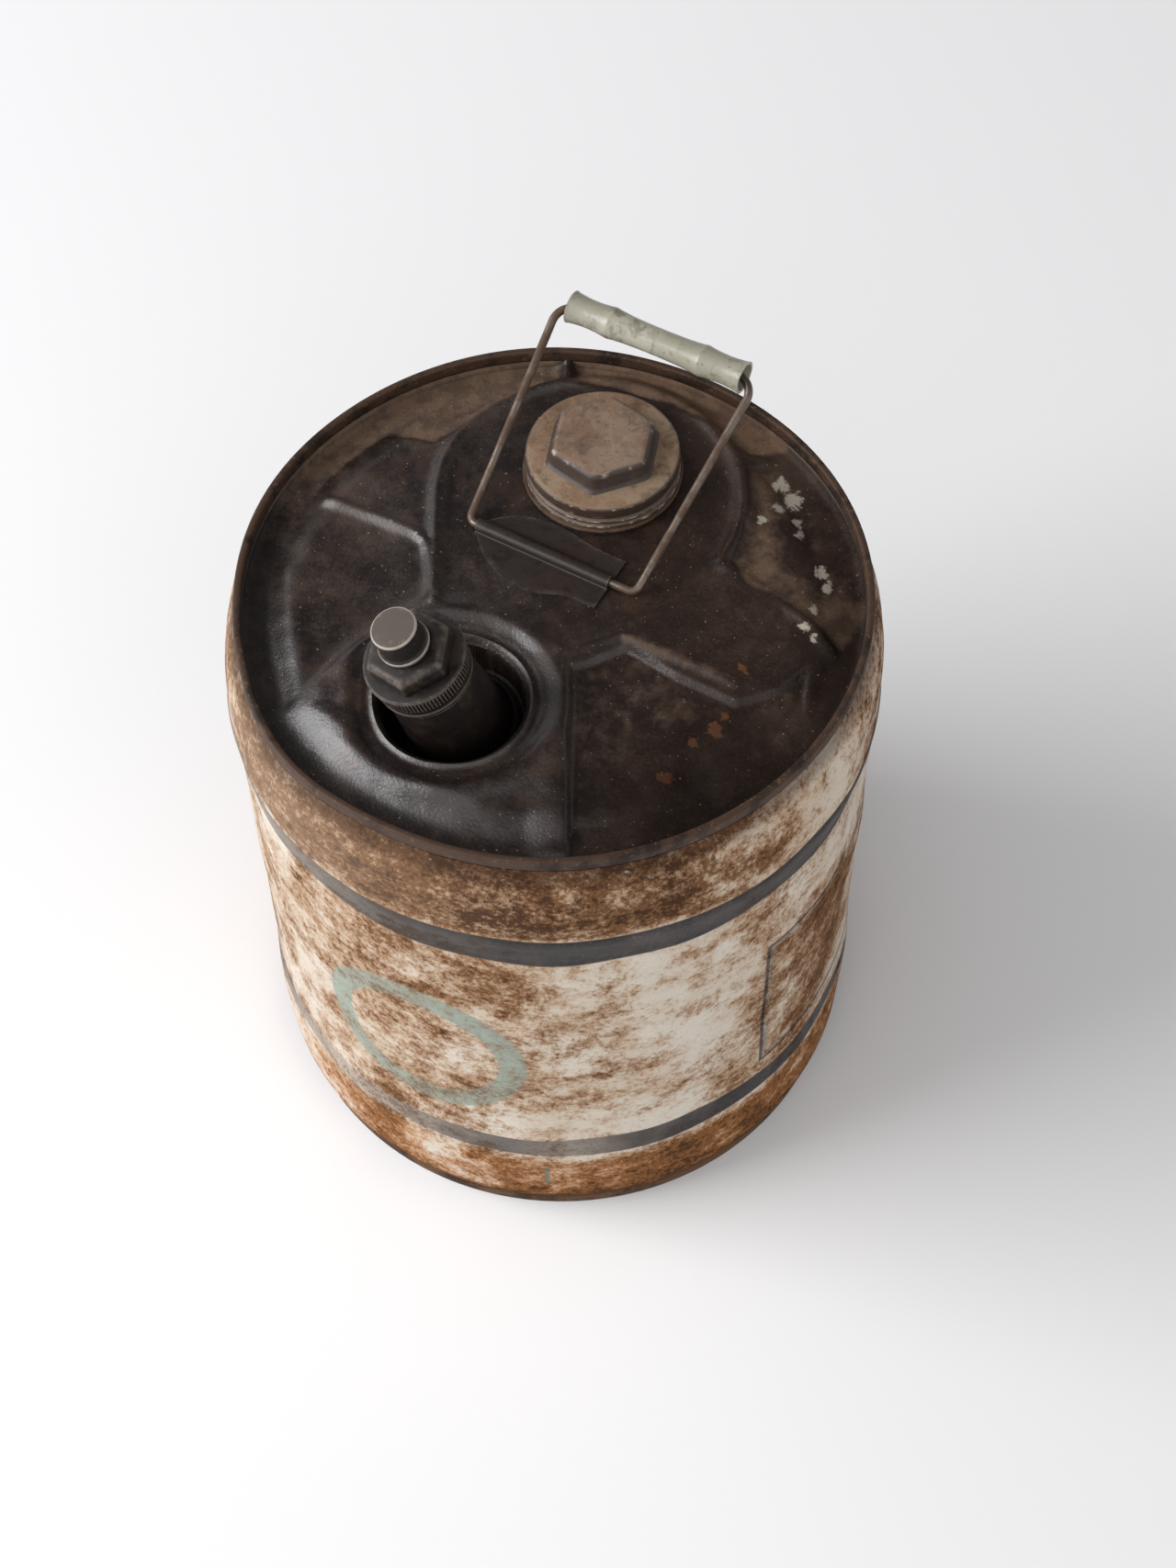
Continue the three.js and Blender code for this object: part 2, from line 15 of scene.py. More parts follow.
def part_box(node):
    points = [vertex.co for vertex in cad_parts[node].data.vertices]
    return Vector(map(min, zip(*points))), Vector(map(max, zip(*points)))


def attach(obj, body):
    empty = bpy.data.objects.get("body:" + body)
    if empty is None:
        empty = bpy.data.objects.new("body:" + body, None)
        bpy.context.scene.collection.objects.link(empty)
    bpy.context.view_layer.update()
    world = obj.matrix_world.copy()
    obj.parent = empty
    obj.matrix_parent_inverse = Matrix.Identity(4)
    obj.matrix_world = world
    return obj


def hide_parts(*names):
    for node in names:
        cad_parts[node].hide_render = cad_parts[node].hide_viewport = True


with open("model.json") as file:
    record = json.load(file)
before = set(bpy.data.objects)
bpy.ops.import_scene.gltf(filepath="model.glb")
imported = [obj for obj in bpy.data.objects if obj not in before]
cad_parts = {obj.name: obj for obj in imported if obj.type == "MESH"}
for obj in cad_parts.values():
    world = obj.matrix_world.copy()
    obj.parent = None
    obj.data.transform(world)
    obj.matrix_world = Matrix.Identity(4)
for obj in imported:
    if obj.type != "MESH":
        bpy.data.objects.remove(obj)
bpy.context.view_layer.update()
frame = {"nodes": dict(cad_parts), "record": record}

MM = 0.001

# ------------------------------------------------------------------ driving dimensions (mm)

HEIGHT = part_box("top_chime")[1][2] / MM  # floor to the crest of the top chime
SHEET = 0.7
TOP_CHIME, LOW_CHIME = 140.2, 138.0  # inner radii of the two rolled seams
CHIME_WIDE, CHIME_TALL = 3.6, 6.7
SEAM_FLANGE = 1.4  # from a chime's inner face out to its head's flange
GUTTER_DROP, PANEL_DROP = 12.0, 6.5
PANEL_Z = HEIGHT - PANEL_DROP
HEAD_EDGE = TOP_CHIME + SEAM_FLANGE - SHEET - 0.2  # where the head turns up into its flange

JOINTS = {joint["name"]: joint for joint in frame["record"]["behaviour"]["joints"]}
FILL_X, FILL_Y = (value / MM for value in JOINTS["fill_cap_turn"]["pos_m"][:2])
SPOUT_AXIS = Vector(JOINTS["spout_closure_turn"]["axis"])
SPOUT_POINT = Vector(JOINTS["spout_closure_turn"]["pos_m"])
HINGE_POINT = Vector(JOINTS["bail_swing"]["pos_m"])
HINGE_AXIS = Vector(JOINTS["bail_swing"]["axis"])
GRIP_POINT = Vector(JOINTS["grip_spin"]["pos_m"])

PANEL_X, PANEL_Y, PANEL_RADIUS = 18, 58, 70  # the flat round panel under the fittings
BORE, BORE_RING, BORE_CLEAR = 30.5, 30.6, 31.5  # the fill hole, its ring of points, the space round it
OUTLET = 17.0  # radius of the hole under the spout
WELL_X, WELL_Y, WELL_RADIUS = -44.0, -54.0, 31.4
WELL_SEAT = -16.3  # along the spout's axis from SPOUT_POINT

SHELL_PROFILE = [
    (141.3, 7), (142.3, 9), (143.6, 12), (145.0, 17), (145.8, 22), (147, 50), (146.3, 100),
    (147, 150), (147.8, 200), (147.8, 246), (148.2, 255), (149.4, 262), (150.2, 266.5), (150.3, 270),
    (149.6, 273.5), (149.9, 279), (150, 285), (149.7, 293), (149, 300), (147.8, 307), (146.2, 313),
    (144.6, 317), (143.5, 320),
]

# ------------------------------------------------------------------ numeric helpers


def smooth(edge0, edge1, value):
    t = np.clip((value - edge0) / (edge1 - edge0), 0, 1)
    return t * t * (3 - 2 * t)


def bump(distance, width):
    return np.exp(-((distance / width) ** 2))


def waves(seed, scale, count=14):
    """A smooth random field of two coordinates, about -1 to 1, with features of the given size."""
    rng = np.random.default_rng(seed)
    angle = rng.uniform(0, math.tau, count)
    size = rng.uniform(0.6, 1.6, count) / scale * math.tau
    phase = rng.uniform(0, math.tau, count)

    def field(x, y):
        total = np.zeros_like(np.asarray(x, float))
        for a, k, p in zip(angle, size, phase):
            total = total + np.sin(k * (np.cos(a) * x + np.sin(a) * y) + p)
        return total / math.sqrt(count)

    return field


def to_path(points, x, y):
    """Distance from each (x, y) to a polyline."""
    best = np.full(np.shape(x), 1e9)
    for (ax, ay), (bx, by) in zip(points, points[1:]):
        dx, dy = bx - ax, by - ay
        t = np.clip(((x - ax) * dx + (y - ay) * dy) / (dx * dx + dy * dy), 0, 1)
        best = np.minimum(best, np.hypot(x - ax - t * dx, y - ay - t * dy))
    return best


def to_polygon(points, x, y):
    """Signed distance to a polygon, negative inside."""
    loop = list(points) + [points[0]]
    inside = np.zeros(np.shape(x), bool)
    for (ax, ay), (bx, by) in zip(loop, loop[1:]):
        crosses = (ay > y) != (by > y)
        with np.errstate(divide="ignore", invalid="ignore"):
            at = ax + (y - ay) * (bx - ax) / (by - ay)
        inside ^= crosses & (x < at)
    return np.where(inside, -1, 1) * to_path(loop, x, y)


def to_teardrop(cx, cy, radius, tx, ty, x, y):
    """Signed distance to a disc drawn out to a point at (tx, ty)."""
    reach = math.hypot(tx - cx, ty - cy)
    ux, uy = (tx - cx) / reach, (ty - cy) / reach
    along = (x - cx) * ux + (y - cy) * uy
    across = np.abs(-(x - cx) * uy + (y - cy) * ux)
    sine = radius / reach
    cosine = math.sqrt(1 - sine * sine)
    disc = np.hypot(along, across) - radius
    flank = across * cosine + along * sine - radius
    tip = np.hypot(along - reach, across)
    run = -across * sine + along * cosine
    tangent = reach * cosine
    return np.where(run < 0, disc, np.where(run > tangent, tip, flank))


def turns(count):
    """Angles evenly spaced round a full turn."""
    return np.linspace(0, math.tau, count, endpoint=False)


def arc(cx, cy, radius, start, stop, steps):
    angles = np.radians(np.linspace(start, stop, steps + 1))
    return [(cx + radius * math.cos(a), cy + radius * math.sin(a)) for a in angles]


def rounded(points, radius, steps=4, closed=True):
    """A profile with its corners eased by short curves."""
    count = len(points)
    result = []
    for i, corner in enumerate(points):
        if not closed and i in (0, count - 1):
            result.append(tuple(corner))
            continue
        corner = np.array(corner, float)
        before = np.array(points[i - 1], float) - corner
        after = np.array(points[(i + 1) % count], float) - corner
        a, b = np.linalg.norm(before), np.linalg.norm(after)
        cut = min(radius, 0.45 * a, 0.45 * b)
        start, stop = corner + before / a * cut, corner + after / b * cut
        for k in range(steps + 1):
            t = k / steps
            result.append(tuple((1 - t) ** 2 * start + 2 * t * (1 - t) * corner + t * t * stop))
    return result


def curve_through(points, steps):
    """Catmull-Rom points through a profile."""
    p = np.array([points[0]] + list(points) + [points[-1]], float)
    result = []
    for i in range(1, len(p) - 2):
        for k in range(steps):
            t = k / steps
            a = 2 * p[i]
            b = (p[i + 1] - p[i - 1]) * t
            c = (2 * p[i - 1] - 5 * p[i] + 4 * p[i + 1] - p[i + 2]) * t * t
            d = (3 * p[i] - p[i - 1] - 3 * p[i + 1] + p[i + 2]) * t ** 3
            result.append(tuple((a + b + c + d) / 2))
    result.append(tuple(p[-2]))
    return result


# ------------------------------------------------------------------ mesh helpers


def make(name, vertices, faces, place=None, sharp=35):
    """A mesh object from vertices in millimetres."""
    mesh = bpy.data.meshes.new(name)
    points = np.asarray(vertices, float) * MM
    mesh.from_pydata(points.tolist(), [], faces)
    if place is not None:
        mesh.transform(place)
    mesh.validate()
    mesh.shade_smooth()
    mesh.set_sharp_from_angle(angle=math.radians(sharp))
    piece = bpy.data.objects.new(name, mesh)
    bpy.context.scene.collection.objects.link(piece)
    return piece


def read(items, field, width, kind=float):
    """One field of a mesh's vertices, edges or triangles as rows of the given width."""
    values = np.empty(len(items) * width, kind)
    items.foreach_get(field, values)
    return values.reshape(-1, width)


def solid(name, vertices, faces, place, sharp):
    """A closed mesh whose faces all look outwards."""
    piece = make(name, vertices, faces, place, sharp)
    mesh = piece.data
    mesh.calc_loop_triangles()
    points = read(mesh.vertices, "co", 3)
    a, b, c = points[read(mesh.loop_triangles, "vertices", 3, np.int64)].transpose(1, 0, 2)
    if np.einsum("ij,ij->i", a, np.cross(b, c)).sum() < 0:
        mesh.flip_normals()
    return piece


def skin(rows, closed=False, capped=False):
    """Faces between neighbouring rings of vertex numbers. A ring of one vertex is a pole."""
    pairs = list(zip(rows, rows[1:]))
    if closed:
        pairs.append((rows[-1], rows[0]))
    faces = []
    for low, high in pairs:
        ring = max(len(low), len(high))
        if ring == 1:
            continue
        for i in range(ring):
            j = (i + 1) % ring
            if len(low) == 1:
                faces.append((low[0], high[j], high[i]))
            elif len(high) == 1:
                faces.append((low[i], low[j], high[0]))
            else:
                faces.append((low[i], low[j], high[j], high[i]))
    if capped:
        faces += [tuple(reversed(rows[0])), tuple(rows[-1])]
    return faces


def revolve(name, profile, facets=192, closed=True, shape=None, place=None, sharp=35):
    """A solid of revolution about Z. shape(angle, r, z) may bend a ring's radius and height."""
    angles = turns(facets)
    vertices, rows = [], []
    for r, z in profile:
        if r < 1e-6:
            rows.append([len(vertices)])
            vertices.append((0, 0, z))
            continue
        radius = np.full(facets, float(r))
        level = np.full(facets, float(z))
        if shape is not None:
            radius, level = shape(angles, radius, level)
        rows.append(range(len(vertices), len(vertices) + facets))
        vertices.extend(zip(radius * np.cos(angles), radius * np.sin(angles), level))
    return solid(name, vertices, skin(rows, closed), place, sharp)


def sweep(name, path, section, place):
    """A tube of the given section along a path that lies in the XY plane."""
    path = [Vector((p[0], p[1], 0)) for p in path]
    vertices, rows = [], []
    for i, point in enumerate(path):
        tangent = (path[min(i + 1, len(path) - 1)] - path[max(i - 1, 0)]).normalized()
        side = Vector((-tangent.y, tangent.x, 0))
        rows.append(range(len(vertices), len(vertices) + len(section)))
        for a, b in section:
            vertices.append(tuple(point + side * a + Vector((0, 0, b))))
    return solid(name, vertices, skin(rows, capped=True), place, 35)


def mark(piece, name, values):
    """Stores one number for each vertex, for the materials to read."""
    attribute = piece.data.attributes.new(name, "FLOAT", "POINT")
    attribute.data.foreach_set("value", np.asarray(values, np.float32))


SPOUT_PLACE = Matrix.Translation(SPOUT_POINT) @ (
    Vector((0, 0, 1)).rotation_difference(SPOUT_AXIS).to_matrix().to_4x4()
)


def handle_place(origin, reach, out_of_plane):
    """The handle's frame: X along the hinge, Y the given way, Z out of their plane."""
    turn = Matrix((HINGE_AXIS, reach, out_of_plane)).transposed().to_4x4()
    return Matrix.Translation(origin) @ turn


BAIL_REACH = (GRIP_POINT - HINGE_POINT).normalized()
BAIL_PLACE = handle_place(HINGE_POINT, BAIL_REACH, HINGE_AXIS.cross(BAIL_REACH))
STRAP_PLACE = handle_place(
    Vector((HINGE_POINT.x, HINGE_POINT.y, 0)), Vector((0, 0, 1)).cross(HINGE_AXIS), Vector((0, 0, 1))
)

# ------------------------------------------------------------------ camera, light, floor

AIM = Vector((14.574, -103.868, 326.567)) * MM
CAMERA_DISTANCE = 1313.1 * MM
CAMERA_ELEVATION = math.radians(56.36)
CAMERA_ROLL = math.radians(-1.03)
CAMERA_LENS = 70.65
DARK_CEILING = (0.26, 0.53, 0.81)  # the way to the darkest part of the room, behind the can
FLOOR_HALF = 3000


def add_camera():
    data = bpy.data.cameras.new("camera")
    data.lens = CAMERA_LENS
    data.sensor_width = 36
    camera = bpy.data.objects.new("camera", data)
    bpy.context.scene.collection.objects.link(camera)
    back = Vector((0, -math.cos(CAMERA_ELEVATION), math.sin(CAMERA_ELEVATION)))
    turn = back.to_track_quat("Z", "Y").to_matrix().to_4x4()
    roll = Matrix.Rotation(CAMERA_ROLL, 4, "Z")
    camera.matrix_world = Matrix.Translation(AIM + back * CAMERA_DISTANCE) @ turn @ roll
    bpy.context.scene.camera = camera


def add_area(name, place, aim, width, height, power, tint=(1, 1, 1)):
    data = bpy.data.lights.new(name, "AREA")
    data.shape = "RECTANGLE"
    data.size, data.size_y = width, height
    data.energy = power
    data.color = tint
    lamp = bpy.data.objects.new(name, data)
    bpy.context.scene.collection.objects.link(lamp)
    way = Vector(place) - Vector(aim)
    lamp.matrix_world = Matrix.Translation(place) @ way.to_track_quat("Z", "Y").to_matrix().to_4x4()


def add_light():
    add_area("window_left", (-2.5, -0.25, 1.8), (0, 0, 0.2), 2.1, 1.8, 88, (0.99, 0.99, 1.0))
    add_area("front_fill", (0.3, -2.3, 2.9), (0, 0, 0.1), 3.0, 2.2, 13, (1.0, 0.985, 0.965))
    world = bpy.data.worlds.new("studio")
    bpy.context.scene.world = world
    world.use_nodes = True
    room = Nodes(world.node_tree)
    sky = room.node("ShaderNodeTexCoord", {}, "Generated")
    toward = room.node("ShaderNodeVectorMath", {0: sky, 1: DARK_CEILING}, "Value", operation="DOT_PRODUCT")
    backdrop = world.node_tree.nodes["Background"].inputs
    room.fill(backdrop["Color"], (0.985, 0.985, 1.0))
    room.fill(backdrop["Strength"], room.ramp(toward, 0.40, 0.92, 0.86, 0.09))
    bpy.context.scene.view_settings.view_transform = "Standard"


def add_floor():
    corners = [(-1, -1), (1, -1), (1, 1), (-1, 1)]
    floor = make("floor", [(FLOOR_HALF * x, FLOOR_HALF * y, 0) for x, y in corners], [(0, 1, 2, 3)])
    paint(floor, floor_finish())


# ------------------------------------------------------------------ the rim's real shape

rim_wave = waves(3, 2.2)


def rim_offset(angle, z):
    """How far the dented top of the can stands out of round, in millimetres."""
    degrees = np.degrees(angle) % 360
    left = -1.6 * bump(degrees - 182, 24)
    front_left = 3.0 * bump(degrees - 219, 15)
    slow = 0.35 * rim_wave(np.cos(angle) * 1.6, np.sin(angle) * 1.6)
    return (left + front_left + slow) * smooth(HEIGHT - 70, HEIGHT - 8, z)


def follow_rim(angles, radius, level):
    return radius + rim_offset(angles, level), level


# ------------------------------------------------------------------ top head

PANEL_RING = arc(PANEL_X, PANEL_Y, PANEL_RADIUS, 180, -33, 40)
# Raised ribs: path, half width, height over the panel
RIBS = [
    ([(3, -31), (32, -20)], 3.2, 2.0),
    ([(-53, -1), (-52.5, 30), (-52, 58)] + PANEL_RING, 3.6, 3.2),
    ([(-103, 60), (-80, 49), (-62, 39), (-57, 34), (-55, 27), (-53.5, 4)], 2.6, 2.8),
    ([(82, 88), (96, 82), (112, 81)], 3.2, 2.2),
    ([(77, 17), (86, 10), (100, -1), (113, -14), (124, -30)], 4.0, 2.2),
    ([(32, -22), (56, -35), (79, -48)], 2.8, 2.4),
    ([(79, -48), (90, -26), (101, -6)], 3.0, 1.6),
    ([(-119, 20), (-118, 0), (-115, -20), (-112, -46)], 6.0, 1.7),
]
GUTTER_BRIDGES = [([(8, 124), (8.5, 146)], 3.6)]
# Recessed sectors: outline, depth
SECTORS = [
    ([(-112, 96), (-98, 103), (-72, 99), (-54, 91), (-32, 109), (-12, 121), (2, 128),
      (2, 150), (-60, 150), (-112, 110)], 2.2),
    ([(12, 127), (31, 122), (57, 112), (74, 99), (80, 88), (92, 84), (104, 85), (140, 90), (60, 160),
      (12, 160)], 2.4),
    ([(90, 76), (90, 54), (86, 35), (81, 19), (85, 6), (100, -2), (119, -19), (128, -31),
      (150, 0), (140, 70), (112, 78)], 2.4),
    ([(8, -38), (33, -27), (54, -43), (80, -58), (98, -52), (112, -40), (106, -85), (66, -122),
      (30, -140), (6, -146)], 3.0),
]
PADS = [([(34, -15), (80, 12), (101, -4), (79, -46), (34, -23)], 1.5)]
PAD_FOOT = [(33, -24), (79, -47)]  # dust gathers along the pad's lower edge
# Patches of bared paint and of orange rust: centre, size
CHIPS = [(106, 67, 6), (111, 58, 7), (104, 52, 5), (112, 44, 4), (113, 37, 4), (96, 44, 3.5), (121, 16, 5),
         (124, 8, 4), (117, -6, 4), (112, -19, 4), (116, -24, 3)]
RUST_SPOTS = [(83, -41, 5), (69, -70, 5), (74, -64, 4), (48, -95, 4), (60, -77, 3)]
WELL_CREST = 48.0
NOTCH_TIP = (-113.0, -56.0)
head_wave = waves(11, 60)
fine_wave = waves(12, 16)


def well_surround(x, y):
    """The drawn crest round the well, run out to the notch's tip on the left."""
    drop = to_teardrop(WELL_X, WELL_Y, WELL_CREST, *NOTCH_TIP, x, y)
    from_well = np.hypot(x - WELL_X, y - WELL_Y)
    behind = smooth(-62, -48, y) * (1 - smooth(-70, -58, x))  # the flank behind the notch
    spread = np.where(drop > 0, 7.5 - 3.6 * behind, 5.0 - 2.0 * behind)
    near_tip = 1 - smooth(-92, -76, x)  # there the crest is one flank that climbs towards the well
    tall = 3.6 + near_tip * (3.2 * smooth(-114, -80, x) - 1.8)
    slope = bump(drop, spread)
    crest = tall * np.where(drop > 0, slope, near_tip + (1 - near_tip) * slope)
    crease = -2.2 * behind * bump(drop - 7.5, 4.5) * (1 - smooth(-46, -36, y - x - 20))
    trough = -1.6 * (1 - smooth(-12, -4, drop)) * smooth(34, 38, from_well)
    lip = 1.3 * bump(from_well - 35.2, 2.4) + 0.8 * bump(from_well - 39.4, 2.2)
    lip = lip - 2.6 * (1 - smooth(WELL_RADIUS + 0.4, 35.4, from_well))
    tip = 1.2 * bump(np.hypot(x - NOTCH_TIP[0] - 5, y - NOTCH_TIP[1]), 6)
    return crest + crease + trough + lip + tip, drop


def head_height(x, y):
    """Height of the pressed head's upper face above the floor, well included."""
    r = np.hypot(x, y)
    gutter = HEIGHT - GUTTER_DROP
    rise = GUTTER_DROP - PANEL_DROP
    dome = gutter + rise * (1 - smooth(112, 130, r))
    from_panel = np.hypot(x - PANEL_X, y - PANEL_Y)
    base = PANEL_Z + (dome - PANEL_Z) * smooth(PANEL_RADIUS, PANEL_RADIUS + 10, from_panel)
    free = smooth(48, 62, from_panel)  # nothing disturbs the flat round panel
    inboard = 1 - smooth(125, 134, r)
    lift = np.zeros(np.shape(r))
    for path, width, tall in RIBS:
        lift = np.maximum(lift, tall * bump(to_path(path, x, y), width))
    for outline, tall in PADS:
        lift = np.maximum(lift, tall * (1 - smooth(-1.6, 1.6, to_polygon(outline, x, y))))
    sink = np.zeros(np.shape(r))
    for outline, depth in SECTORS:
        sink = np.maximum(sink, depth * (1 - smooth(-2.0, 1.6, to_polygon(outline, x, y))))
    # The divider between the well and the front sector: a long rise on the left, a sharp drop right
    divider = smooth(-16, 2, x) * (1 - smooth(4.0, 7.0, x))
    divider = divider * (1 - smooth(-48, -36, y)) * smooth(-146, -132, y)
    lift = np.maximum(lift, 2.4 * divider)
    surround, drop = well_surround(x, y)
    reach = np.maximum(inboard, (1 - smooth(131, 137, r)) * (y < -30) * (np.abs(x - 20) < 90))
    z = base + (lift * smooth(-2, 7, drop) - sink) * free * reach
    for path, width in GUTTER_BRIDGES:
        z = np.maximum(z, gutter + 6.0 * bump(to_path(path, x, y), width))
    z = z + free * (1 - smooth(120, 138, r)) * (0.5 * head_wave(x, y) + 0.12 * fine_wave(x, y))
    dent = -2.4 * bump(np.hypot(x + 88, (y - 12) / 1.5), 24)  # the pushed-in left side
    z = z + dent * smooth(2, 12, drop)
    swelling = 3.0 * bump(np.hypot(x + 82, y + 44), 14)  # behind the notch's tip
    z = z + swelling * (1 - smooth(-70, -62, x))
    z = z + surround * (1 - smooth(128, 138, r))
    from_well = np.hypot(x - WELL_X, y - WELL_Y)
    seat = SPOUT_POINT / MM + SPOUT_AXIS * WELL_SEAT
    floor = seat.z - (SPOUT_AXIS.x * (x - seat.x) + SPOUT_AXIS.y * (y - seat.y)) / SPOUT_AXIS.z
    z = np.where(from_well < WELL_RADIUS + 0.05, floor, z)
    return z + 1.2 * smooth(HEAD_EDGE - 3, HEAD_EDGE, r)  # the upright flange's fillet


def head_points():
    """Plan points: rings about the can's axis, and rings about the well where it is steep."""
    surround = 56.0
    points = []
    for r in np.concatenate([[0.0], np.arange(1.4, HEAD_EDGE - 0.6, 1.4), [HEAD_EDGE]]):
        count = max(1, int(round(math.tau * r / 1.5)))
        angles = turns(count) + 0.31 * r
        ring = np.stack([r * np.cos(angles), r * np.sin(angles)], 1)
        away = np.hypot(ring[:, 0] - WELL_X, ring[:, 1] - WELL_Y) > surround
        hole = np.hypot(ring[:, 0] - FILL_X, ring[:, 1] - FILL_Y) > BORE_CLEAR
        points.append(ring[away & hole])
    steps = np.concatenate([
        np.arange(19, 30.8, 1.6), [31.0, 31.4, 31.9, 32.3, 32.8, 33.4], np.arange(34.2, surround, 1.0),
    ])
    for r in steps:
        count = int(round(math.tau * r / 1.3))
        angles = turns(count) + 0.17 * r
        ring = np.stack([WELL_X + r * np.cos(angles), WELL_Y + r * np.sin(angles)], 1)
        points.append(ring[np.hypot(ring[:, 0], ring[:, 1]) < HEAD_EDGE - 0.8])
    angles = turns(160)
    points.append(np.stack([FILL_X + BORE_RING * np.cos(angles), FILL_Y + BORE_RING * np.sin(angles)], 1))
    return np.concatenate(points)


def head_plan():
    """Triangles over the head's plan points, less the fill hole and the spout's outlet."""
    points = head_points()
    found = delaunay_2d_cdt([Vector(p) for p in points], [], [], 0, 0.001)
    plan = np.array([tuple(p) for p in found[0]])
    faces = np.array(found[2])
    middle = plan[faces].mean(1)
    bore = np.hypot(middle[:, 0] - FILL_X, middle[:, 1] - FILL_Y) < BORE
    seat = SPOUT_POINT / MM + SPOUT_AXIS * WELL_SEAT
    outlet = np.hypot(middle[:, 0] - seat.x, middle[:, 1] - seat.y) < OUTLET
    faces = faces[~(bore | outlet)]
    used = np.unique(faces)
    remap = np.full(len(plan), -1)
    remap[used] = np.arange(len(used))
    return plan[used], remap[faces]


def add_top_head():
    plan, faces = head_plan()
    x, y = plan[:, 0], plan[:, 1]
    z = head_height(x, y)
    angle = np.arctan2(y, x)
    r = np.hypot(x, y)
    pull = rim_offset(angle, np.full(len(r), HEIGHT)) * smooth(118, 140, r)
    px, py = x + pull * np.cos(angle), y + pull * np.sin(angle)
    # The upright flange, as one more ring outside the sheet
    edge = np.where(r > HEAD_EDGE - 0.1)[0]
    edge = edge[np.argsort(angle[edge])]
    flange = [
        (px[i] + 0.2 * math.cos(angle[i]), py[i] + 0.2 * math.sin(angle[i]), HEIGHT - 6.9)
        for i in edge
    ]
    vertices = list(zip(px, py, z)) + flange
    first, count = len(px), len(edge)
    polygons = [tuple(f) for f in faces]
    for i in range(count):
        j = (i + 1) % count
        polygons.append((int(edge[i]), int(edge[j]), first + j, first + i))
    head = make("top_head_sheet", vertices, polygons, sharp=50)
    thick = head.modifiers.new("sheet", "SOLIDIFY")
    thick.thickness = SHEET * MM
    thick.offset = -1
    mark_head(head, np.concatenate([x, x[edge]]), np.concatenate([y, y[edge]]))
    return head


def mark_head(head, x, y):
    """Where dust lies, where the paint chips are and where the sheet is handled bare, and where painted shade
    darkens it.
    """
    r = np.hypot(x, y)
    gutter = smooth(124, 129, r)
    back = smooth(30, 110, y) * smooth(130, -40, x)
    dust = gutter * (0.10 + 0.80 * back)
    worn_off = 1 - 0.7 * smooth(96, 112, x) * smooth(-20, 30, y)  # at the right sector's outer end
    for (outline, _), amount in zip(SECTORS, (0.66, 0.95, 0.62 * worn_off, 0.34)):
        dust = np.maximum(dust, amount * (1 - smooth(-4, 1.6, to_polygon(outline, x, y))))
    dust = np.maximum(dust, 0.55 * bump(to_path(PAD_FOOT, x, y), 3.5))
    for path, width in GUTTER_BRIDGES:
        dust = dust * (1 - 0.9 * bump(to_path(path, x, y), width + 1))
    oil_and_shade = bump(np.hypot(x - 62, y + 112), 62) * smooth(60, 110, r)  # oily at the front right, with painted shade on the shoulder there
    # painted shade: near-black down in the well
    well_shade = 1 - smooth(30.5, 33.5, np.hypot(x - WELL_X, y - WELL_Y))
    mark(head, "dust", dust * (1 - oil_and_shade))
    # painted shade on the right shoulder, towards the gutter
    right = 0.6 * smooth(118, 127, r) * bump(np.hypot(x - 128, y + 14), 66)
    # painted shade beside the well's right crest
    beside_well_shade = 0.6 * bump(np.hypot(x + 4, (y + 52) * 0.7), 11)
    # the "dark" mark lays painted shade on the sheet: near-black colour and less shine
    mark(head, "dark", np.maximum.reduce([0.80 * oil_and_shade, well_shade, right, beside_well_shade]))
    for name, patches in (("chip", CHIPS), ("spot", RUST_SPOTS)):
        amount = np.zeros(len(x))
        for cx, cy, size in patches:
            amount = np.maximum(amount, bump(np.hypot(x - cx, (y - cy) * 0.8), size))
        mark(head, name, amount)


# ------------------------------------------------------------------ shell and seams


def add_shell():
    outside = curve_through(SHELL_PROFILE, 8)
    inside = [(r - SHEET, z) for r, z in SHELL_PROFILE][::-1]
    return revolve("shell_sheet", outside + inside, 420, shape=follow_shell, sharp=50)


shell_wave = waves(21, 70)


def follow_shell(angles, radius, level):
    radius, level = follow_rim(angles, radius, level)
    soft = 0.45 * shell_wave(angles * 147, level) * smooth(12, 40, level)
    return radius + soft * (1 - smooth(HEIGHT - 40, HEIGHT - 12, level)), level


def add_chime(name, inner, bottom, shape):
    outer, top = inner + CHIME_WIDE, bottom + CHIME_TALL
    profile = [(inner, bottom), (outer, bottom), (outer, top), (inner, top)]
    return revolve(name, rounded(profile, 1.5, 5), 420, shape=shape, sharp=60)


def add_bottom_head():
    edge = LOW_CHIME + SEAM_FLANGE
    dish = curve_through([(0, 12), (60, 11.7), (100, 10.8), (edge - 14, 10), (edge - 10, 11.2),
                          (edge - 7, 13), (edge - 3, 13.6)], 6)
    outside = dish + [(edge - 1, 13.2), (edge, 11.6), (edge, 7)]
    inside = [(edge - SHEET, 7), (edge - SHEET, 11.3), (edge - 1.5, 12.6)]
    inside += [(r, z - SHEET) for r, z in dish[::-1]]
    return revolve("bottom_head_sheet", outside + inside, 240, closed=False)


# ------------------------------------------------------------------ fill opening


def polygon_radius(flats, sides, softness, turn):
    """Radius of a polygon with eased corners, as a function of the angle."""
    def radius(angles):
        total = np.zeros(np.shape(angles))
        for k in range(sides):
            facing = np.cos(angles - turn - k * math.tau / sides)
            total = total + np.maximum(facing, 0) ** softness
        return flats / 2 * total ** (-1 / softness)
    return radius


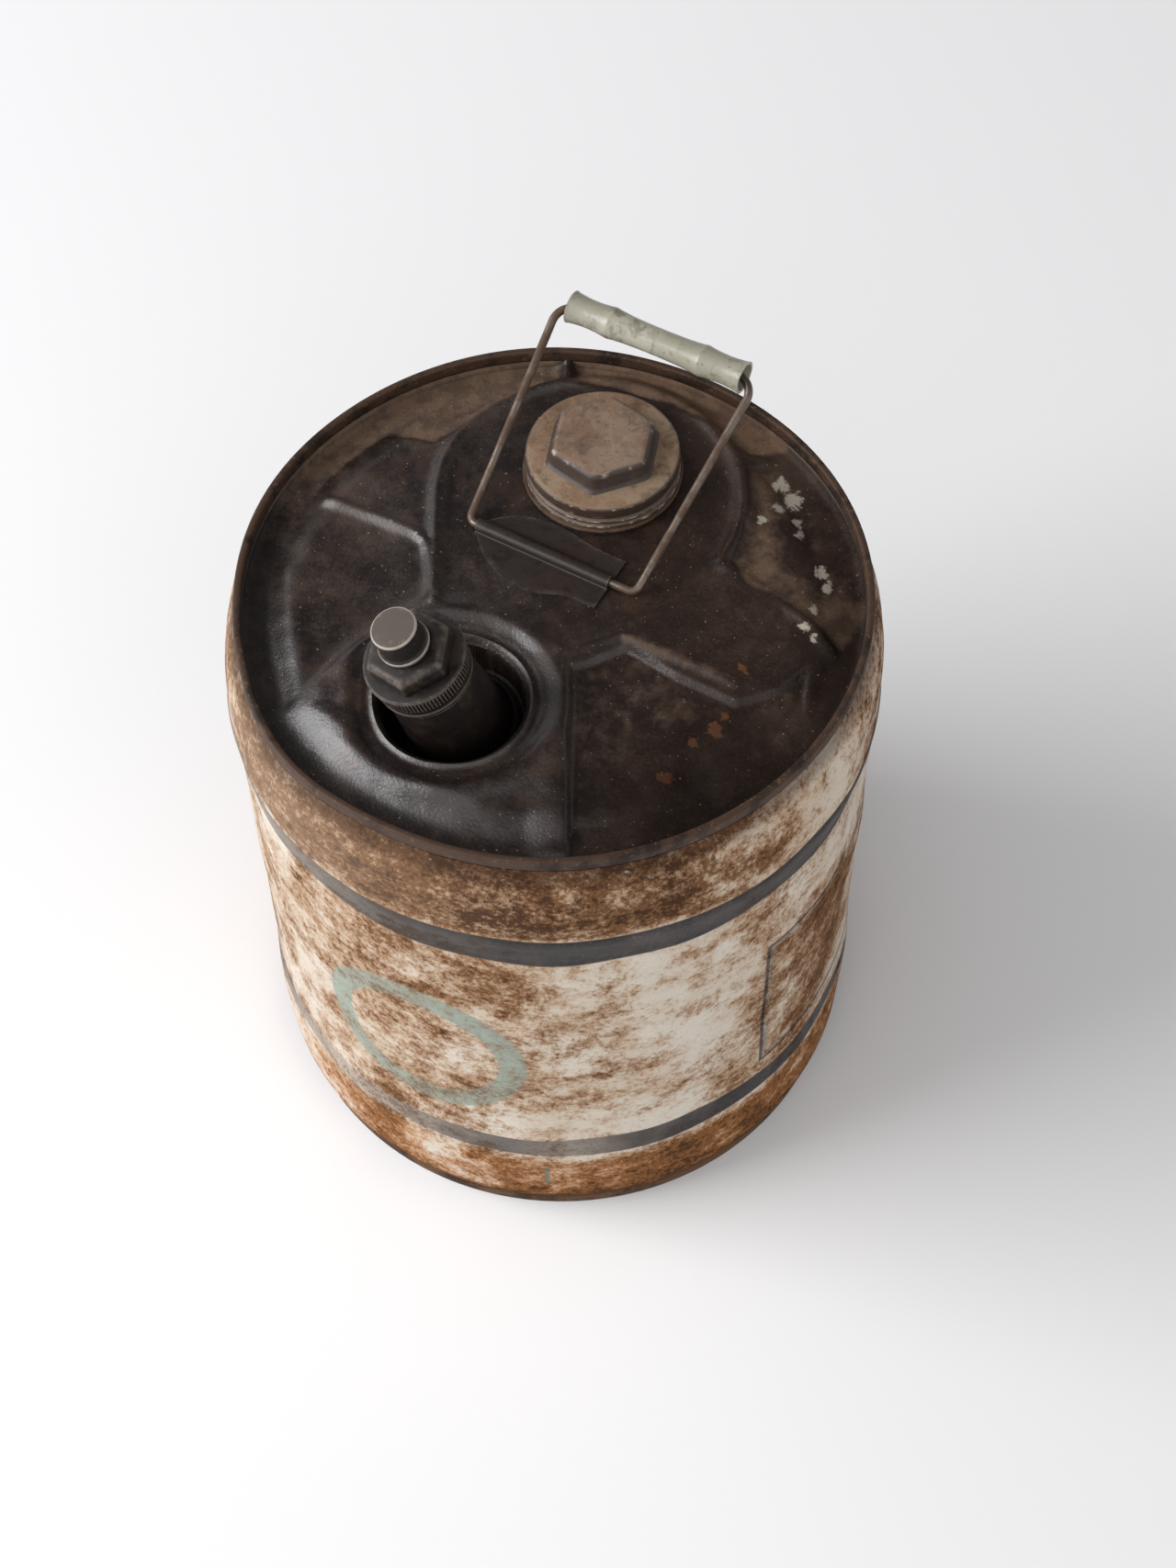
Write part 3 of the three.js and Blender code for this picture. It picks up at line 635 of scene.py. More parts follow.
def faceted(name, levels, flats, sides, softness, turn, place, facets=180, bore=None):
    """A polygonal head: levels lists scale and height; the last level closes over the top."""
    radius = polygon_radius(flats, sides, softness, turn)
    angles = turns(facets)
    vertices, rows = [], []
    for scale, z in levels:
        r = radius(angles) * scale
        if bore is not None:
            r = np.maximum(r, bore)
        rows.append(range(len(vertices), len(vertices) + facets))
        vertices.extend(zip(r * np.cos(angles), r * np.sin(angles), np.full(facets, z)))
    faces = skin(rows, closed=bore is not None)
    if bore is None:
        for row, z in ((rows[0], levels[0][1]), (rows[-1], levels[-1][1])):
            centre = len(vertices)
            vertices.append((0, 0, z))
            for i in range(facets):
                faces.append((row[i], row[(i + 1) % facets], centre))
    return solid(name, vertices, faces, place, 40)


CAP_DISC = 10.3  # from the crest of the rim up to the cap's disc
CAP_HEX = 10  # height of the hexagon on the disc


def add_fill_opening():
    place = Matrix.Translation((FILL_X * MM, FILL_Y * MM, 0))
    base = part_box("fill_cap")[0][2] / MM
    disc_top = HEIGHT + CAP_DISC
    neck_low, neck_high = (corner[2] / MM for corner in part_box("fill_neck"))
    flange = PANEL_Z + 1.6
    neck = revolve("neck_flange", rounded([
        (28.5, neck_low), (30.2, neck_low), (30.2, flange), (36.8, flange), (37.0, flange + 1.3),
        (33, flange + 1.4), (31.8, flange + 1.5), (31.8, neck_high), (28.5, neck_high),
    ], 0.5, 2), 160, place=place)
    cap = revolve("cap_skirt", rounded([
        (32.5, base), (35.6, base), (35.7, base + 1.5), (34.4, base + 2.2), (34.2, base + 3.0),
        (35.5, base + 3.9), (35.5, base + 4.7), (34.0, base + 5.6), (34.0, base + 6.3),
        (35.5, base + 7.6), (35.4, disc_top - 0.9), (33.9, disc_top), (20, disc_top + 0.1),
        (0, disc_top + 0.1), (0, disc_top - 2), (32.5, disc_top - 2),
    ], 0.7, 3), 200, place=place)
    top = disc_top + CAP_HEX
    hexagon = faceted("cap_hex", [
        (1.10, disc_top - 0.5), (1.075, disc_top + 0.3), (1.035, disc_top + 1.1), (1.01, disc_top + 2.2),
        (0.990, top - 3.0), (0.975, top - 1.9), (0.945, top - 1.0), (0.905, top - 0.4), (0.85, top - 0.05),
        (0.78, top + 0.1), (0.6, top + 0.15), (0.3, top - 0.1),
    ], 45, 6, 24, math.radians(49), place)
    return neck, cap, hexagon


# ------------------------------------------------------------------ pour spout


def add_spout():
    base = -14.4
    tube = revolve("spout_pipe", rounded([
        (17.2, base), (25.5, base), (25.5, base + 1.5), (23.6, base + 2.2), (22.6, base + 12),
        (21.2, 20), (20.6, 35.6), (19, 35.7), (19, 46.5), (17.2, 46.5),
    ], 0.6, 3), 128, place=SPOUT_PLACE)
    teeth = 84

    def knurl(angles, radius, level):
        zone = smooth(42.6, 43.2, level) * (1 - smooth(48.6, 49.2, level)) * (radius > 21)
        return radius - 0.75 * zone * (0.5 + 0.5 * np.cos(angles * teeth)), level

    collar = revolve("collar_ring", [
        (19.5, 36), (20.9, 36), (21.3, 36.4), (21.3, 38.2), (21.9, 38.6), (21.9, 39.2), (21.4, 39.6),
        (21.4, 42.4), (22.4, 43.0), (22.4, 45), (22.4, 47), (22.4, 48.7), (21.8, 49.3), (21.4, 49.7),
        (19.5, 49.7),
    ], teeth * 8, shape=knurl, place=SPOUT_PLACE, sharp=50)
    disc = revolve("closing_disc", rounded([
        (6.5, 50), (22.4, 50), (23.2, 50.5), (23.2, 51.6), (22.4, 52.2), (19, 52.3), (6.5, 52.2),
    ], 0.4, 3), 160, place=SPOUT_PLACE)
    nut_low, nut_high = 52.5, 62.0
    nut = faceted("hex_boss", [
        (0.2, nut_low), (0.98, nut_low), (1.0, nut_low + 0.6), (1.0, nut_high - 3.2), (0.985, nut_high - 2.0),
        (0.93, nut_high - 0.8), (0.86, nut_high - 0.15), (0.78, nut_high), (0.2, nut_high),
    ], 34.5, 6, 30, 0.35 + math.pi / 6, SPOUT_PLACE, bore=6.5)
    plug_low = 63.6
    plug = revolve("stopper", rounded([
        (0, 51), (6, 51), (6, plug_low), (11.5, plug_low), (11.6, plug_low + 1.5), (10.5, plug_low + 2.4),
        (10.3, plug_low + 3.2), (10.4, 77.1), (9.8, 77.7), (0, 77.55),
    ], 0.45, 3, closed=False), 128, closed=False, place=SPOUT_PLACE)
    return tube, collar, disc, nut, plug


# ------------------------------------------------------------------ handle

HINGE_HALF, TOP_HALF = 43.1, 50.6
REACH = (GRIP_POINT - HINGE_POINT).length / MM
WIRE = 1.95
GRIP_HALF = 44.5
STRAP_LEFT, STRAP_RIGHT = -38.5, 30.2


def circle(radius, count):
    return [(radius * math.cos(a), radius * math.sin(a)) for a in turns(count)]


def bend(corners, radii, steps):
    """A flat polyline with its inner corners turned into arcs."""
    points = [np.array(c, float) for c in corners]
    path = [points[0]]
    for i, radius in zip(range(1, len(points) - 1), radii):
        into = points[i] - points[i - 1]
        out = points[i + 1] - points[i]
        into, out = into / np.linalg.norm(into), out / np.linalg.norm(out)
        turn = math.acos(np.clip(into @ out, -1, 1))
        start = points[i] - into * radius * math.tan(turn / 2)
        inward = out - into * (into @ out)
        inward = inward / np.linalg.norm(inward)
        for k in range(steps + 1):
            a = turn * k / steps
            path.append(start + inward * radius * (1 - math.cos(a)) + into * radius * math.sin(a))
    path.append(points[-1])
    return path


def add_bail():
    path = bend(
        [(0.4, 0), (HINGE_HALF, 0), (TOP_HALF, REACH), (-TOP_HALF, REACH), (-HINGE_HALF, 0), (-0.4, 0)],
        [4, 9, 9, 4], 14,
    )
    dense = []
    for a, b in zip(path, path[1:]):
        parts = max(1, int(np.linalg.norm(b - a) / 3))
        dense += [a + (b - a) * k / parts for k in range(parts)]
    return sweep("bail_rod", dense + [path[-1]], circle(WIRE, 24), BAIL_PLACE)


def add_grip():
    ring = GRIP_HALF - 21
    half = [
        (7.75, GRIP_HALF), (7.35, GRIP_HALF - 1.5), (6.9, GRIP_HALF - 5), (6.65, GRIP_HALF - 9),
        (6.75, GRIP_HALF - 14), (7.1, ring + 3), (7.45, ring + 0.4), (7.45, ring - 0.4),
        (7.1, ring - 2.5), (6.6, ring - 9), (6.35, 6),
    ]
    outside = [(r, -z) for r, z in half] + [(6.3, 0)] + half[::-1]
    wall = 1.35
    inside = [(r - wall, z) for r, z in outside][::-1]
    turn = Matrix.Rotation(math.pi / 2, 4, "Y")
    place = Matrix.Translation(GRIP_POINT) @ BAIL_PLACE.to_3x3().to_4x4() @ turn
    profile = [outside[0]] + curve_through(outside, 3)[1:] + inside
    return revolve("grip_tube", profile, 72, place=place, sharp=60)


def strap_outline():
    tab = 14.8

    def bezier(a, b, c, d, steps=10):
        result = []
        for k in range(1, steps + 1):
            t = k / steps
            weights = ((1 - t) ** 3, 3 * t * (1 - t) ** 2, 3 * t * t * (1 - t), t ** 3)
            result.append(tuple(sum(w * np.array(p) for w, p in zip(weights, (a, b, c, d)))))
        return result

    front = [(STRAP_LEFT, -1.5)]
    front += bezier(front[-1], (-31, -12), (-20, -21), (-4, -21))
    front += bezier(front[-1], (8, -21), (10, -tab), (20, -tab))
    front += [(STRAP_RIGHT, -tab), (STRAP_RIGHT, tab), (20, tab)]
    front += bezier(front[-1], (10, tab), (2, 18), (-8, 18))
    front += bezier(front[-1], (-22, 18), (-33, 12), (STRAP_LEFT, 1.5))
    return front


def span_at(outline, x):
    """Where a closed outline lies at x: its lowest and highest y."""
    lows, highs = [], []
    for (ax, ay), (bx, by) in zip(outline, outline[1:] + outline[:1]):
        if min(ax, bx) - 1e-6 <= x <= max(ax, bx) + 1e-6 and abs(bx - ax) > 1e-6:
            y = ay + (by - ay) * (x - ax) / (bx - ax)
            (lows if y < 0 else highs).append(y)
    return min(lows), max(highs)


def strap_section(x, low, high):
    """One slice of the plate: flat flanges, the bead over the wire and the tunnel under it."""
    bottom = PANEL_Z + 0.3
    hinge_z = HINGE_POINT.z / MM
    bead, tunnel = 3.1, WIRE + 0.25
    shares = [1, 0.8, 0.6, 0.45, 0.34]  # of the half width, from the plate's edge inwards
    row = [(x, min(low * share, -bead - 1.2), bottom + 0.9) for share in shares]
    row += [(x, -bead - 0.5, bottom + 1.0), (x, -bead - 0.05, bottom + 1.4)]
    for a in np.radians(np.linspace(190, -10, 15)):
        row.append((x, bead * math.cos(a), hinge_z + bead * math.sin(a)))
    row += [(x, bead + 0.05, bottom + 1.4), (x, bead + 0.5, bottom + 1.0)]
    row += [(x, max(high * share, bead + 1.2), bottom + 0.9) for share in reversed(shares)]
    row += [(x, row[-1][1], bottom), (x, tunnel, bottom)]
    for a in np.radians(np.linspace(0, 180, 9)):
        row.append((x, tunnel * math.cos(a), hinge_z + tunnel * math.sin(a)))
    return row + [(x, -tunnel, bottom), (x, row[0][1], bottom)]


def add_strap():
    """The plate and its bead: across the bead the sheet rises over the wire."""
    outline = strap_outline()
    even = np.round(np.linspace(STRAP_LEFT, STRAP_RIGHT, 70), 3)
    xs = sorted({round(x, 3) for x, _ in outline} | set(even))
    columns = [strap_section(x, *span_at(outline, x)) for x in xs]
    ring = len(columns[0])
    rows = [range(k * ring, (k + 1) * ring) for k in range(len(columns))]
    vertices = [point for row in columns for point in row]
    return solid("strap_plate", vertices, skin(rows, capped=True), STRAP_PLACE, 40)


# ------------------------------------------------------------------ wear marks on a mesh


def mark_wear(piece, reach=1.6, spread=2):
    """Stores how sharply each vertex bends, above 0.5 on outer edges, and how far it faces up."""
    mesh = piece.data
    count = len(mesh.vertices)
    points = read(mesh.vertices, "co", 3) / MM
    normals = read(mesh.vertices, "normal", 3)
    a, b = read(mesh.edges, "vertices", 2, np.int64).T
    along = points[b] - points[a]
    size = np.maximum((along ** 2).sum(1), 1e-4)
    total = np.zeros(count)
    share = np.zeros(count)
    for here, way in ((a, along), (b, -along)):
        np.add.at(total, here, -2 * (normals[here] * way).sum(1) / np.sqrt(size))
        np.add.at(share, here, np.sqrt(size))
    bend_of = np.clip(total / np.maximum(share, 1e-4) * reach, -1, 1)
    for _ in range(spread):
        total = np.zeros(count)
        share = np.zeros(count)
        np.add.at(total, a, bend_of[b])
        np.add.at(total, b, bend_of[a])
        np.add.at(share, a, 1)
        np.add.at(share, b, 1)
        bend_of = 0.5 * bend_of + 0.5 * total / np.maximum(share, 1)
    mark(piece, "wear", 0.5 + 0.5 * bend_of)
    mark(piece, "up", np.clip(normals[:, 2], 0, 1))


def mark_well_shade(piece, low, high):
    """Stores painted shade by how deep in the well each vertex is: 1 below the first height, 0 above the
    second.
    """
    heights = read(piece.data.vertices, "co", 3)[:, 2] / MM
    mark(piece, "dark", 1 - smooth(low, high, heights))


# ------------------------------------------------------------------ materials


class Nodes:
    """Short names for the shader nodes that the finishes are built from."""

    def __init__(self, tree):
        self.tree = tree

    def fill(self, socket, value):
        """Links a socket, or sets it. Three numbers for a colour get full opacity."""
        if isinstance(value, bpy.types.NodeSocket):
            self.tree.links.new(value, socket)
        elif isinstance(value, tuple) and len(socket.default_value) == 4:
            socket.default_value = (*value, 1)
        else:
            socket.default_value = value

    def node(self, kind, inputs, output=0, **settings):
        node = self.tree.nodes.new(kind)
        for key, value in settings.items():
            setattr(node, key, value)
        for key, value in inputs.items():
            self.fill(node.inputs[key], value)
        return node.outputs[output]

    def math(self, operation, *values):
        return self.node("ShaderNodeMath", dict(enumerate(values)), operation=operation)

    def add(self, *values):
        total = values[0]
        for value in values[1:]:
            total = self.math("ADD", total, value)
        return total

    def times(self, *values):
        total = values[0]
        for value in values[1:]:
            total = self.math("MULTIPLY", total, value)
        return total

    def most(self, a, b):
        return self.math("MAXIMUM", a, b)

    def flip(self, a):
        return self.math("SUBTRACT", 1.0, a)

    def ramp(self, value, low, high, start=0.0, stop=1.0):
        inputs = {"Value": value, "From Min": low, "From Max": high, "To Min": start, "To Max": stop}
        return self.node("ShaderNodeMapRange", inputs, interpolation_type="SMOOTHSTEP")

    def within(self, value, low, high, soft):
        rise, fall = self.ramp(value, low - soft, low + soft), self.ramp(value, high + soft, high - soft)
        return self.times(rise, fall)

    def vary(self, noise, amount):
        """A noise moved to lie about zero, times the amount."""
        return self.times(self.add(noise, -0.5), amount)


class Surface(Nodes):
    """A procedural material on the object's own coordinates."""

    def __init__(self, name):
        self.material = bpy.data.materials.new(name)
        self.material.use_nodes = True
        super().__init__(self.material.node_tree)
        self.shader = self.tree.nodes["Principled BSDF"]
        self.place = self.tree.nodes.new("ShaderNodeTexCoord").outputs["Object"]

    def stretched(self, x, y, z):
        return self.node("ShaderNodeVectorMath", {0: self.place, 1: (x, y, z)}, operation="MULTIPLY")

    def noise(self, scale, detail=5.0, rough=0.6, distortion=0.0, place=None):
        inputs = {"Vector": place or self.place, "Scale": scale, "Detail": detail, "Roughness": rough,
                  "Distortion": distortion}
        return self.node("ShaderNodeTexNoise", inputs)

    def specks(self, scale, size, share):
        """Small round spots: their size within a cell and the share of cells that hold one."""
        cells = self.tree.nodes.new("ShaderNodeTexVoronoi")
        cells.inputs["Scale"].default_value = scale
        self.tree.links.new(self.place, cells.inputs["Vector"])
        pick = self.node("ShaderNodeSeparateColor", {0: cells.outputs["Color"]})
        spot = self.ramp(cells.outputs["Distance"], size, size * 0.5)
        return self.times(spot, self.ramp(pick, share, share * 0.98))

    def axes(self):
        node = self.tree.nodes.new("ShaderNodeSeparateXYZ")
        self.tree.links.new(self.place, node.inputs[0])
        return node.outputs

    def mark(self, name):
        return self.node("ShaderNodeAttribute", {}, "Fac", attribute_name=name)

    def blend(self, amount, a, b):
        node = self.tree.nodes.new("ShaderNodeMix")
        node.data_type = "RGBA"
        for key, value in (("Factor", amount), (6, a), (7, b)):
            self.fill(node.inputs[key], value)
        return node.outputs[2]

    def layers(self, base, *coats):
        """Colours laid one over the other: (amount, colour)."""
        for amount, color in coats:
            base = self.blend(amount, base, color)
        return base

    def bump(self, height, depth, strength=1.0):
        inputs = {"Height": height, "Distance": depth * MM, "Strength": strength}
        return self.node("ShaderNodeBump", inputs)

    def finish(self, color, rough, metal=0.0, normal=None, shine=None):
        values = {"Base Color": color, "Roughness": rough, "Metallic": metal}
        if normal is not None:
            values["Normal"] = normal
        if shine is not None:
            values["Specular IOR Level"] = shine
        for key, value in values.items():
            self.fill(self.shader.inputs[key], value)
        return self.material


CREAM = (0.607, 0.552, 0.469)
TAN = (0.42, 0.265, 0.140)
UMBER = (0.250, 0.122, 0.052)
BROWN = (0.120, 0.049, 0.018)
DEEP_RUST = (0.036, 0.017, 0.010)
ORANGE = (0.47, 0.240, 0.090)
ORANGE_UMBER = (0.340, 0.145, 0.046)
ORANGE_BROWN = (0.165, 0.064, 0.020)
SLATE = (0.022, 0.020, 0.021)
TEAL = (0.235, 0.300, 0.255)
# near-black laid as painted shade where the "dark" marks lie
PAINTED_SHADE_BLACK = (0.0045, 0.0032, 0.0028)
SHELL_RADIUS = 0.147
DEGREE = math.pi / 180

# Prints on the shell: headings in degrees about +Z, heights and sizes in metres
HIGH_STRIPE, LOW_STRIPE = (0.2490, 0.2718), (0.0625, 0.0780)
RING_HEADING, RING_HEIGHT, RING_BAND = -117.0, 0.150, (0.0395, 0.0530)
FRAME_HEADING, FRAME_HEIGHT, FRAME_HALF_WIDE, FRAME_HALF_TALL = -27.0, 0.1455, 0.0565, 0.0545
SIDE_SEAM = -90.5


def shell_prints(s, turn, z, wander):
    """Where the ring, the frame's line, its inner border and a short upright dash are printed."""

    def round_from(centre):
        """Distance round the shell from a heading, the same again on the far side."""
        return s.times(s.math("WRAP", s.add(turn, -centre), 90.0, -90.0), SHELL_RADIUS * DEGREE)

    up, across = s.add(z, -RING_HEIGHT), round_from(RING_HEADING)
    ring = s.math("SQRT", s.add(s.math("POWER", across, 2.0), s.math("POWER", up, 2.0)))
    on_ring = s.within(s.add(ring, s.times(wander, 0.2)), *RING_BAND, 0.0005)
    box_x = s.add(s.math("ABSOLUTE", round_from(FRAME_HEADING)), -FRAME_HALF_WIDE)
    box_z = s.add(s.math("ABSOLUTE", s.add(z, -FRAME_HEIGHT)), -FRAME_HALF_TALL)
    box = s.most(box_x, box_z)
    frame_line = s.within(box, -0.0011, 0.0012, 0.0003)
    frame_teal = s.within(box, -0.0040, -0.0014, 0.0003)
    dash = s.times(s.within(turn, -94.0, -93.1, 0.2), s.within(z, 0.029, 0.050, 0.0008))
    return on_ring, frame_line, frame_teal, dash


def shell_finish():
    """Cream paint with printed bands, a plain ring and a plain frame, rusting through."""
    s = Surface("shell_paint")
    x, y, z = s.axes()
    turn = s.times(s.math("ARCTAN2", y, x), 1 / DEGREE)
    patch = s.noise(27, 10, 0.64)
    middle = s.noise(95, 9, 0.72)
    streaks = s.noise(1.0, 8, 0.68, place=s.stretched(70, 70, 150))
    fine = s.noise(420, 6, 0.76)
    fields = (patch, middle, streaks, fine)
    broad = s.add(*map(s.times, fields, (0.34, 0.28, 0.20, 0.18)))
    tight = s.add(*map(s.times, fields, (0.14, 0.30, 0.20, 0.36)))
    wander = s.vary(s.noise(55, 4, 0.6), 0.004)
    level = s.add(z, wander)

    def facing(centre, width):
        """1 where the shell faces the given way (degrees), falling off over the width."""
        away = s.math("WRAP", s.add(turn, -centre), 180.0, -180.0)
        return s.math("EXPONENT", s.times(-1.0, s.math("POWER", s.times(away, 1 / width), 2.0)))

    upper = s.ramp(level, 0.269, 0.278)
    lower = s.ramp(level, 0.063, 0.050)
    between = s.flip(upper), s.flip(lower)  # the side between the two rusty ends
    density = s.add(
        0.42,
        s.times(upper, s.add(0.17, s.times(0.26, facing(-86, 34)), s.times(-0.24, facing(-42, 22)))),
        s.times(lower, s.add(0.05, s.times(0.28, facing(-56, 46)))),
        s.times(s.ramp(level, 0.030, 0.008), 0.30),
        s.times(-0.10, facing(-68, 17), *between),
        s.times(0.02, facing(-114, 30), *between),
        s.times(0.07, facing(-52, 11), *between),
        s.times(0.32, facing(-30, 17), s.ramp(z, 0.080, 0.130), s.ramp(z, 0.230, 0.180)),
        s.times(0.04, s.ramp(turn, SIDE_SEAM + 0.3, SIDE_SEAM - 0.3)),  # rustier past the side seam
        s.vary(s.noise(9, 3, 0.5), 0.40),
        s.vary(s.noise(30, 3, 0.5), 0.70),
    )
    stain = s.ramp(s.add(broad, s.times(density, 0.34)), 0.555, 0.720)
    umber = s.ramp(s.add(tight, s.times(density, 0.34)), 0.615, 0.700)
    rust = s.ramp(s.add(tight, s.times(density, 0.34)), 0.675, 0.740)
    deep = s.ramp(s.add(tight, s.times(density, 0.24)), 0.680, 0.730)
    tone = s.noise(24, 5, 0.6)

    paint_color = s.layers(
        CREAM,
        (s.times(s.ramp(tone, 0.35, 0.65), 0.25), TAN),
        (s.times(s.ramp(fine, 0.52, 0.66), 0.22), TAN),
    )
    on_ring, frame_line, frame_teal, dash = shell_prints(s, turn, z, wander)
    high_stripe = s.within(s.add(z, s.times(wander, 0.12)), *HIGH_STRIPE, 0.0005)
    low_stripe = s.within(s.add(z, s.times(wander, 0.12)), *LOW_STRIPE, 0.0004)
    printed = s.add(high_stripe, low_stripe)
    faded = s.ramp(s.noise(20, 4, 0.6), 0.42, 0.58)
    high_fade = s.add(s.times(facing(-158, 32), 0.55), s.times(faded, 0.06))
    low_fade = s.add(s.times(facing(-138, 27), 0.88), s.times(facing(-90, 10), 0.45), s.times(faded, 0.12))
    band = s.add(s.times(high_stripe, s.flip(high_fade)), s.times(low_stripe, s.flip(low_fade)))
    worn = s.ramp(s.add(tight, s.times(printed, 0.06)), 0.60, 0.66)  # scuffs through the bands

    hold = s.flip(s.times(printed, 0.80))  # the dark bands rust through less
    stain_color = s.blend(lower, TAN, ORANGE)
    umber_color = s.blend(lower, UMBER, ORANGE_UMBER)
    rust_color = s.blend(lower, BROWN, ORANGE_BROWN)
    color = s.layers(
        paint_color,
        (s.times(stain, 0.84), stain_color),
        (s.times(on_ring, 0.86), TEAL),
        (s.times(frame_teal, 0.85), TEAL),
        (s.times(umber, 0.72, s.flip(s.times(on_ring, 0.35))), umber_color),
        (s.times(rust, 0.76, s.flip(s.times(on_ring, 0.35))), rust_color),
        (s.times(deep, 0.80, s.flip(s.times(on_ring, 0.5))), DEEP_RUST),
        (s.times(upper, facing(-150, 34), 0.30), (0.40, 0.30, 0.225)),
        (s.times(upper, s.ramp(tight, 0.50, 0.42), 0.50), (0.50, 0.37, 0.25)),
        (s.times(upper, s.ramp(tight, 0.54, 0.62), 0.40), DEEP_RUST),
        (s.times(on_ring, 0.16), TEAL),
        (s.times(frame_line, 0.88), SLATE),
        (s.times(printed, 0.72), (0.36, 0.31, 0.265)),
        (s.times(s.math("MINIMUM", band, 1.0), s.flip(s.times(worn, 0.35))), SLATE),
        (s.times(rust, printed, 0.30), rust_color),
        (s.times(s.ramp(fine, 0.50, 0.58), printed, 0.34), (0.105, 0.075, 0.055)),
        (s.times(dash, 0.85), (0.13, 0.15, 0.10)),
        (s.times(s.specks(900, 0.36, 0.10), 0.45, hold), DEEP_RUST),
        # darker towards the top seam, from 307 to 318 mm
        (s.times(s.ramp(z, 0.307, 0.318), 0.6), DEEP_RUST),
        (s.times(s.ramp(level, 0.020, 0.006), 0.80), (0.105, 0.042, 0.015)),
    )
    flecks = s.times(s.ramp(z, 0.284, 0.300), s.ramp(s.noise(210, 6, 0.7), 0.62, 0.70), facing(-84, 34), 0.6)
    pits = s.times(s.ramp(z, 0.280, 0.300), s.ramp(s.noise(170, 6, 0.7), 0.42, 0.36), facing(-95, 34))
    color = s.layers(color, (s.times(pits, 0.8), DEEP_RUST), (flecks, CREAM))
    height = s.add(s.times(rust, -0.35), s.times(broad, 1.2), s.times(printed, 0.12))
    rough = s.add(0.48, s.times(rust, 0.35))
    dull = ((stain, 0.45), (rust, 0.75), (printed, 0.45))
    shine = s.times(*(s.flip(s.times(field, amount)) for field, amount in dull), 0.36)
    return s.finish(color, rough, normal=s.bump(height, 0.5, 0.5), shine=shine)


def seam_finish(name, tint, crest_wear_highlight):
    """Brown rust over dark steel, with the crest rubbed bare and paler: wear, with a painted highlight along
    it.
    """
    s = Surface(name)
    rust = s.noise(60, 7, 0.65)
    pits = s.noise(340, 5, 0.7)
    color = s.layers(
        tint,
        (s.ramp(rust, 0.46, 0.62), tuple(0.3 * v for v in tint)),
        (s.times(s.ramp(pits, 0.56, 0.68), 0.65), (0.15, 0.085, 0.043)),
        # the crest paler: wear, with a painted highlight along it
        (s.times(s.ramp(s.mark("wear"), 0.60, 0.85), s.ramp(s.noise(25, 4), 0.35, 0.6), crest_wear_highlight),
         (0.105, 0.078, 0.058)),
    )
    return s.finish(color, s.add(0.42, s.times(rust, 0.4)), 0.0, s.bump(s.add(rust, pits), 0.35, 0.6), 0.30)


def head_finish():
    """Dark oxidised sheet with settled dust, paint chips, pale specks and orange rust spots, and painted
    shade where the 'dark' mark lies.
    """
    s = Surface("dark_steel")
    cloud = s.noise(20, 6, 0.62)
    mottle = s.noise(105, 8, 0.68)
    grain = s.noise(650, 3, 0.6)
    dust = s.ramp(s.add(s.mark("dust"), s.vary(mottle, 1.3), s.vary(cloud, 0.5)), 0.20, 0.95)
    film = s.times(s.ramp(s.add(cloud, s.times(grain, 0.25)), 0.58, 0.82), 0.55)
    chip = s.ramp(s.add(s.times(s.mark("chip"), 0.42), s.noise(120, 9, 0.80, 1.8)), 0.78, 0.84)
    spots = s.ramp(s.add(s.times(s.mark("spot"), 0.35), s.noise(95, 5, 0.64, 0.4)), 0.72, 0.77)
    duller = s.ramp(s.add(s.axes()[0], s.vary(cloud, 0.08)), -0.03, 0.05)  # towards the right
    pale = s.add(s.specks(240, 0.15, 0.08), s.specks(560, 0.22, 0.10))
    color = s.layers(
        (0.0115, 0.0074, 0.0066),
        (s.ramp(mottle, 0.42, 0.66), (0.029, 0.0182, 0.0142)),
        (s.times(duller, 0.55), (0.0290, 0.0165, 0.0110)),
        (s.times(s.ramp(s.noise(38, 6, 0.66), 0.52, 0.66), 0.5), (0.050, 0.026, 0.017)),
        (film, (0.064, 0.038, 0.025)),
        (s.times(dust, 0.90), (0.150, 0.094, 0.060)),
        (s.times(dust, s.ramp(mottle, 0.56, 0.44), 0.45), (0.050, 0.030, 0.020)),
        (s.times(spots, 0.60), (0.20, 0.080, 0.033)),
        (s.times(s.ramp(grain, 0.56, 0.66), 0.35), (0.052, 0.036, 0.029)),
        (s.times(pale, 0.60), (0.32, 0.26, 0.18)),
        (s.times(chip, 0.85), (0.40, 0.35, 0.28)),
        # painted shade: near-black where the "dark" mark lies
        (s.times(s.mark("dark"), 0.85), PAINTED_SHADE_BLACK),
    )
    rough = s.add(0.27, s.times(mottle, 0.12), s.times(dust, 0.36), s.times(film, 0.30))
    height = s.add(s.times(mottle, 0.9), s.times(grain, 0.80), s.times(chip, 0.5), s.times(dust, grain, 0.5))
    # less shine where the painted shade lies
    lit = s.flip(s.times(s.mark("dark"), 0.80))
    shine = s.times(s.flip(s.times(duller, 0.50)), s.add(0.74, s.times(dust, -0.42)), lit)
    return s.finish(color, rough, 0.0, s.bump(height, 0.42, 0.6), shine=shine)


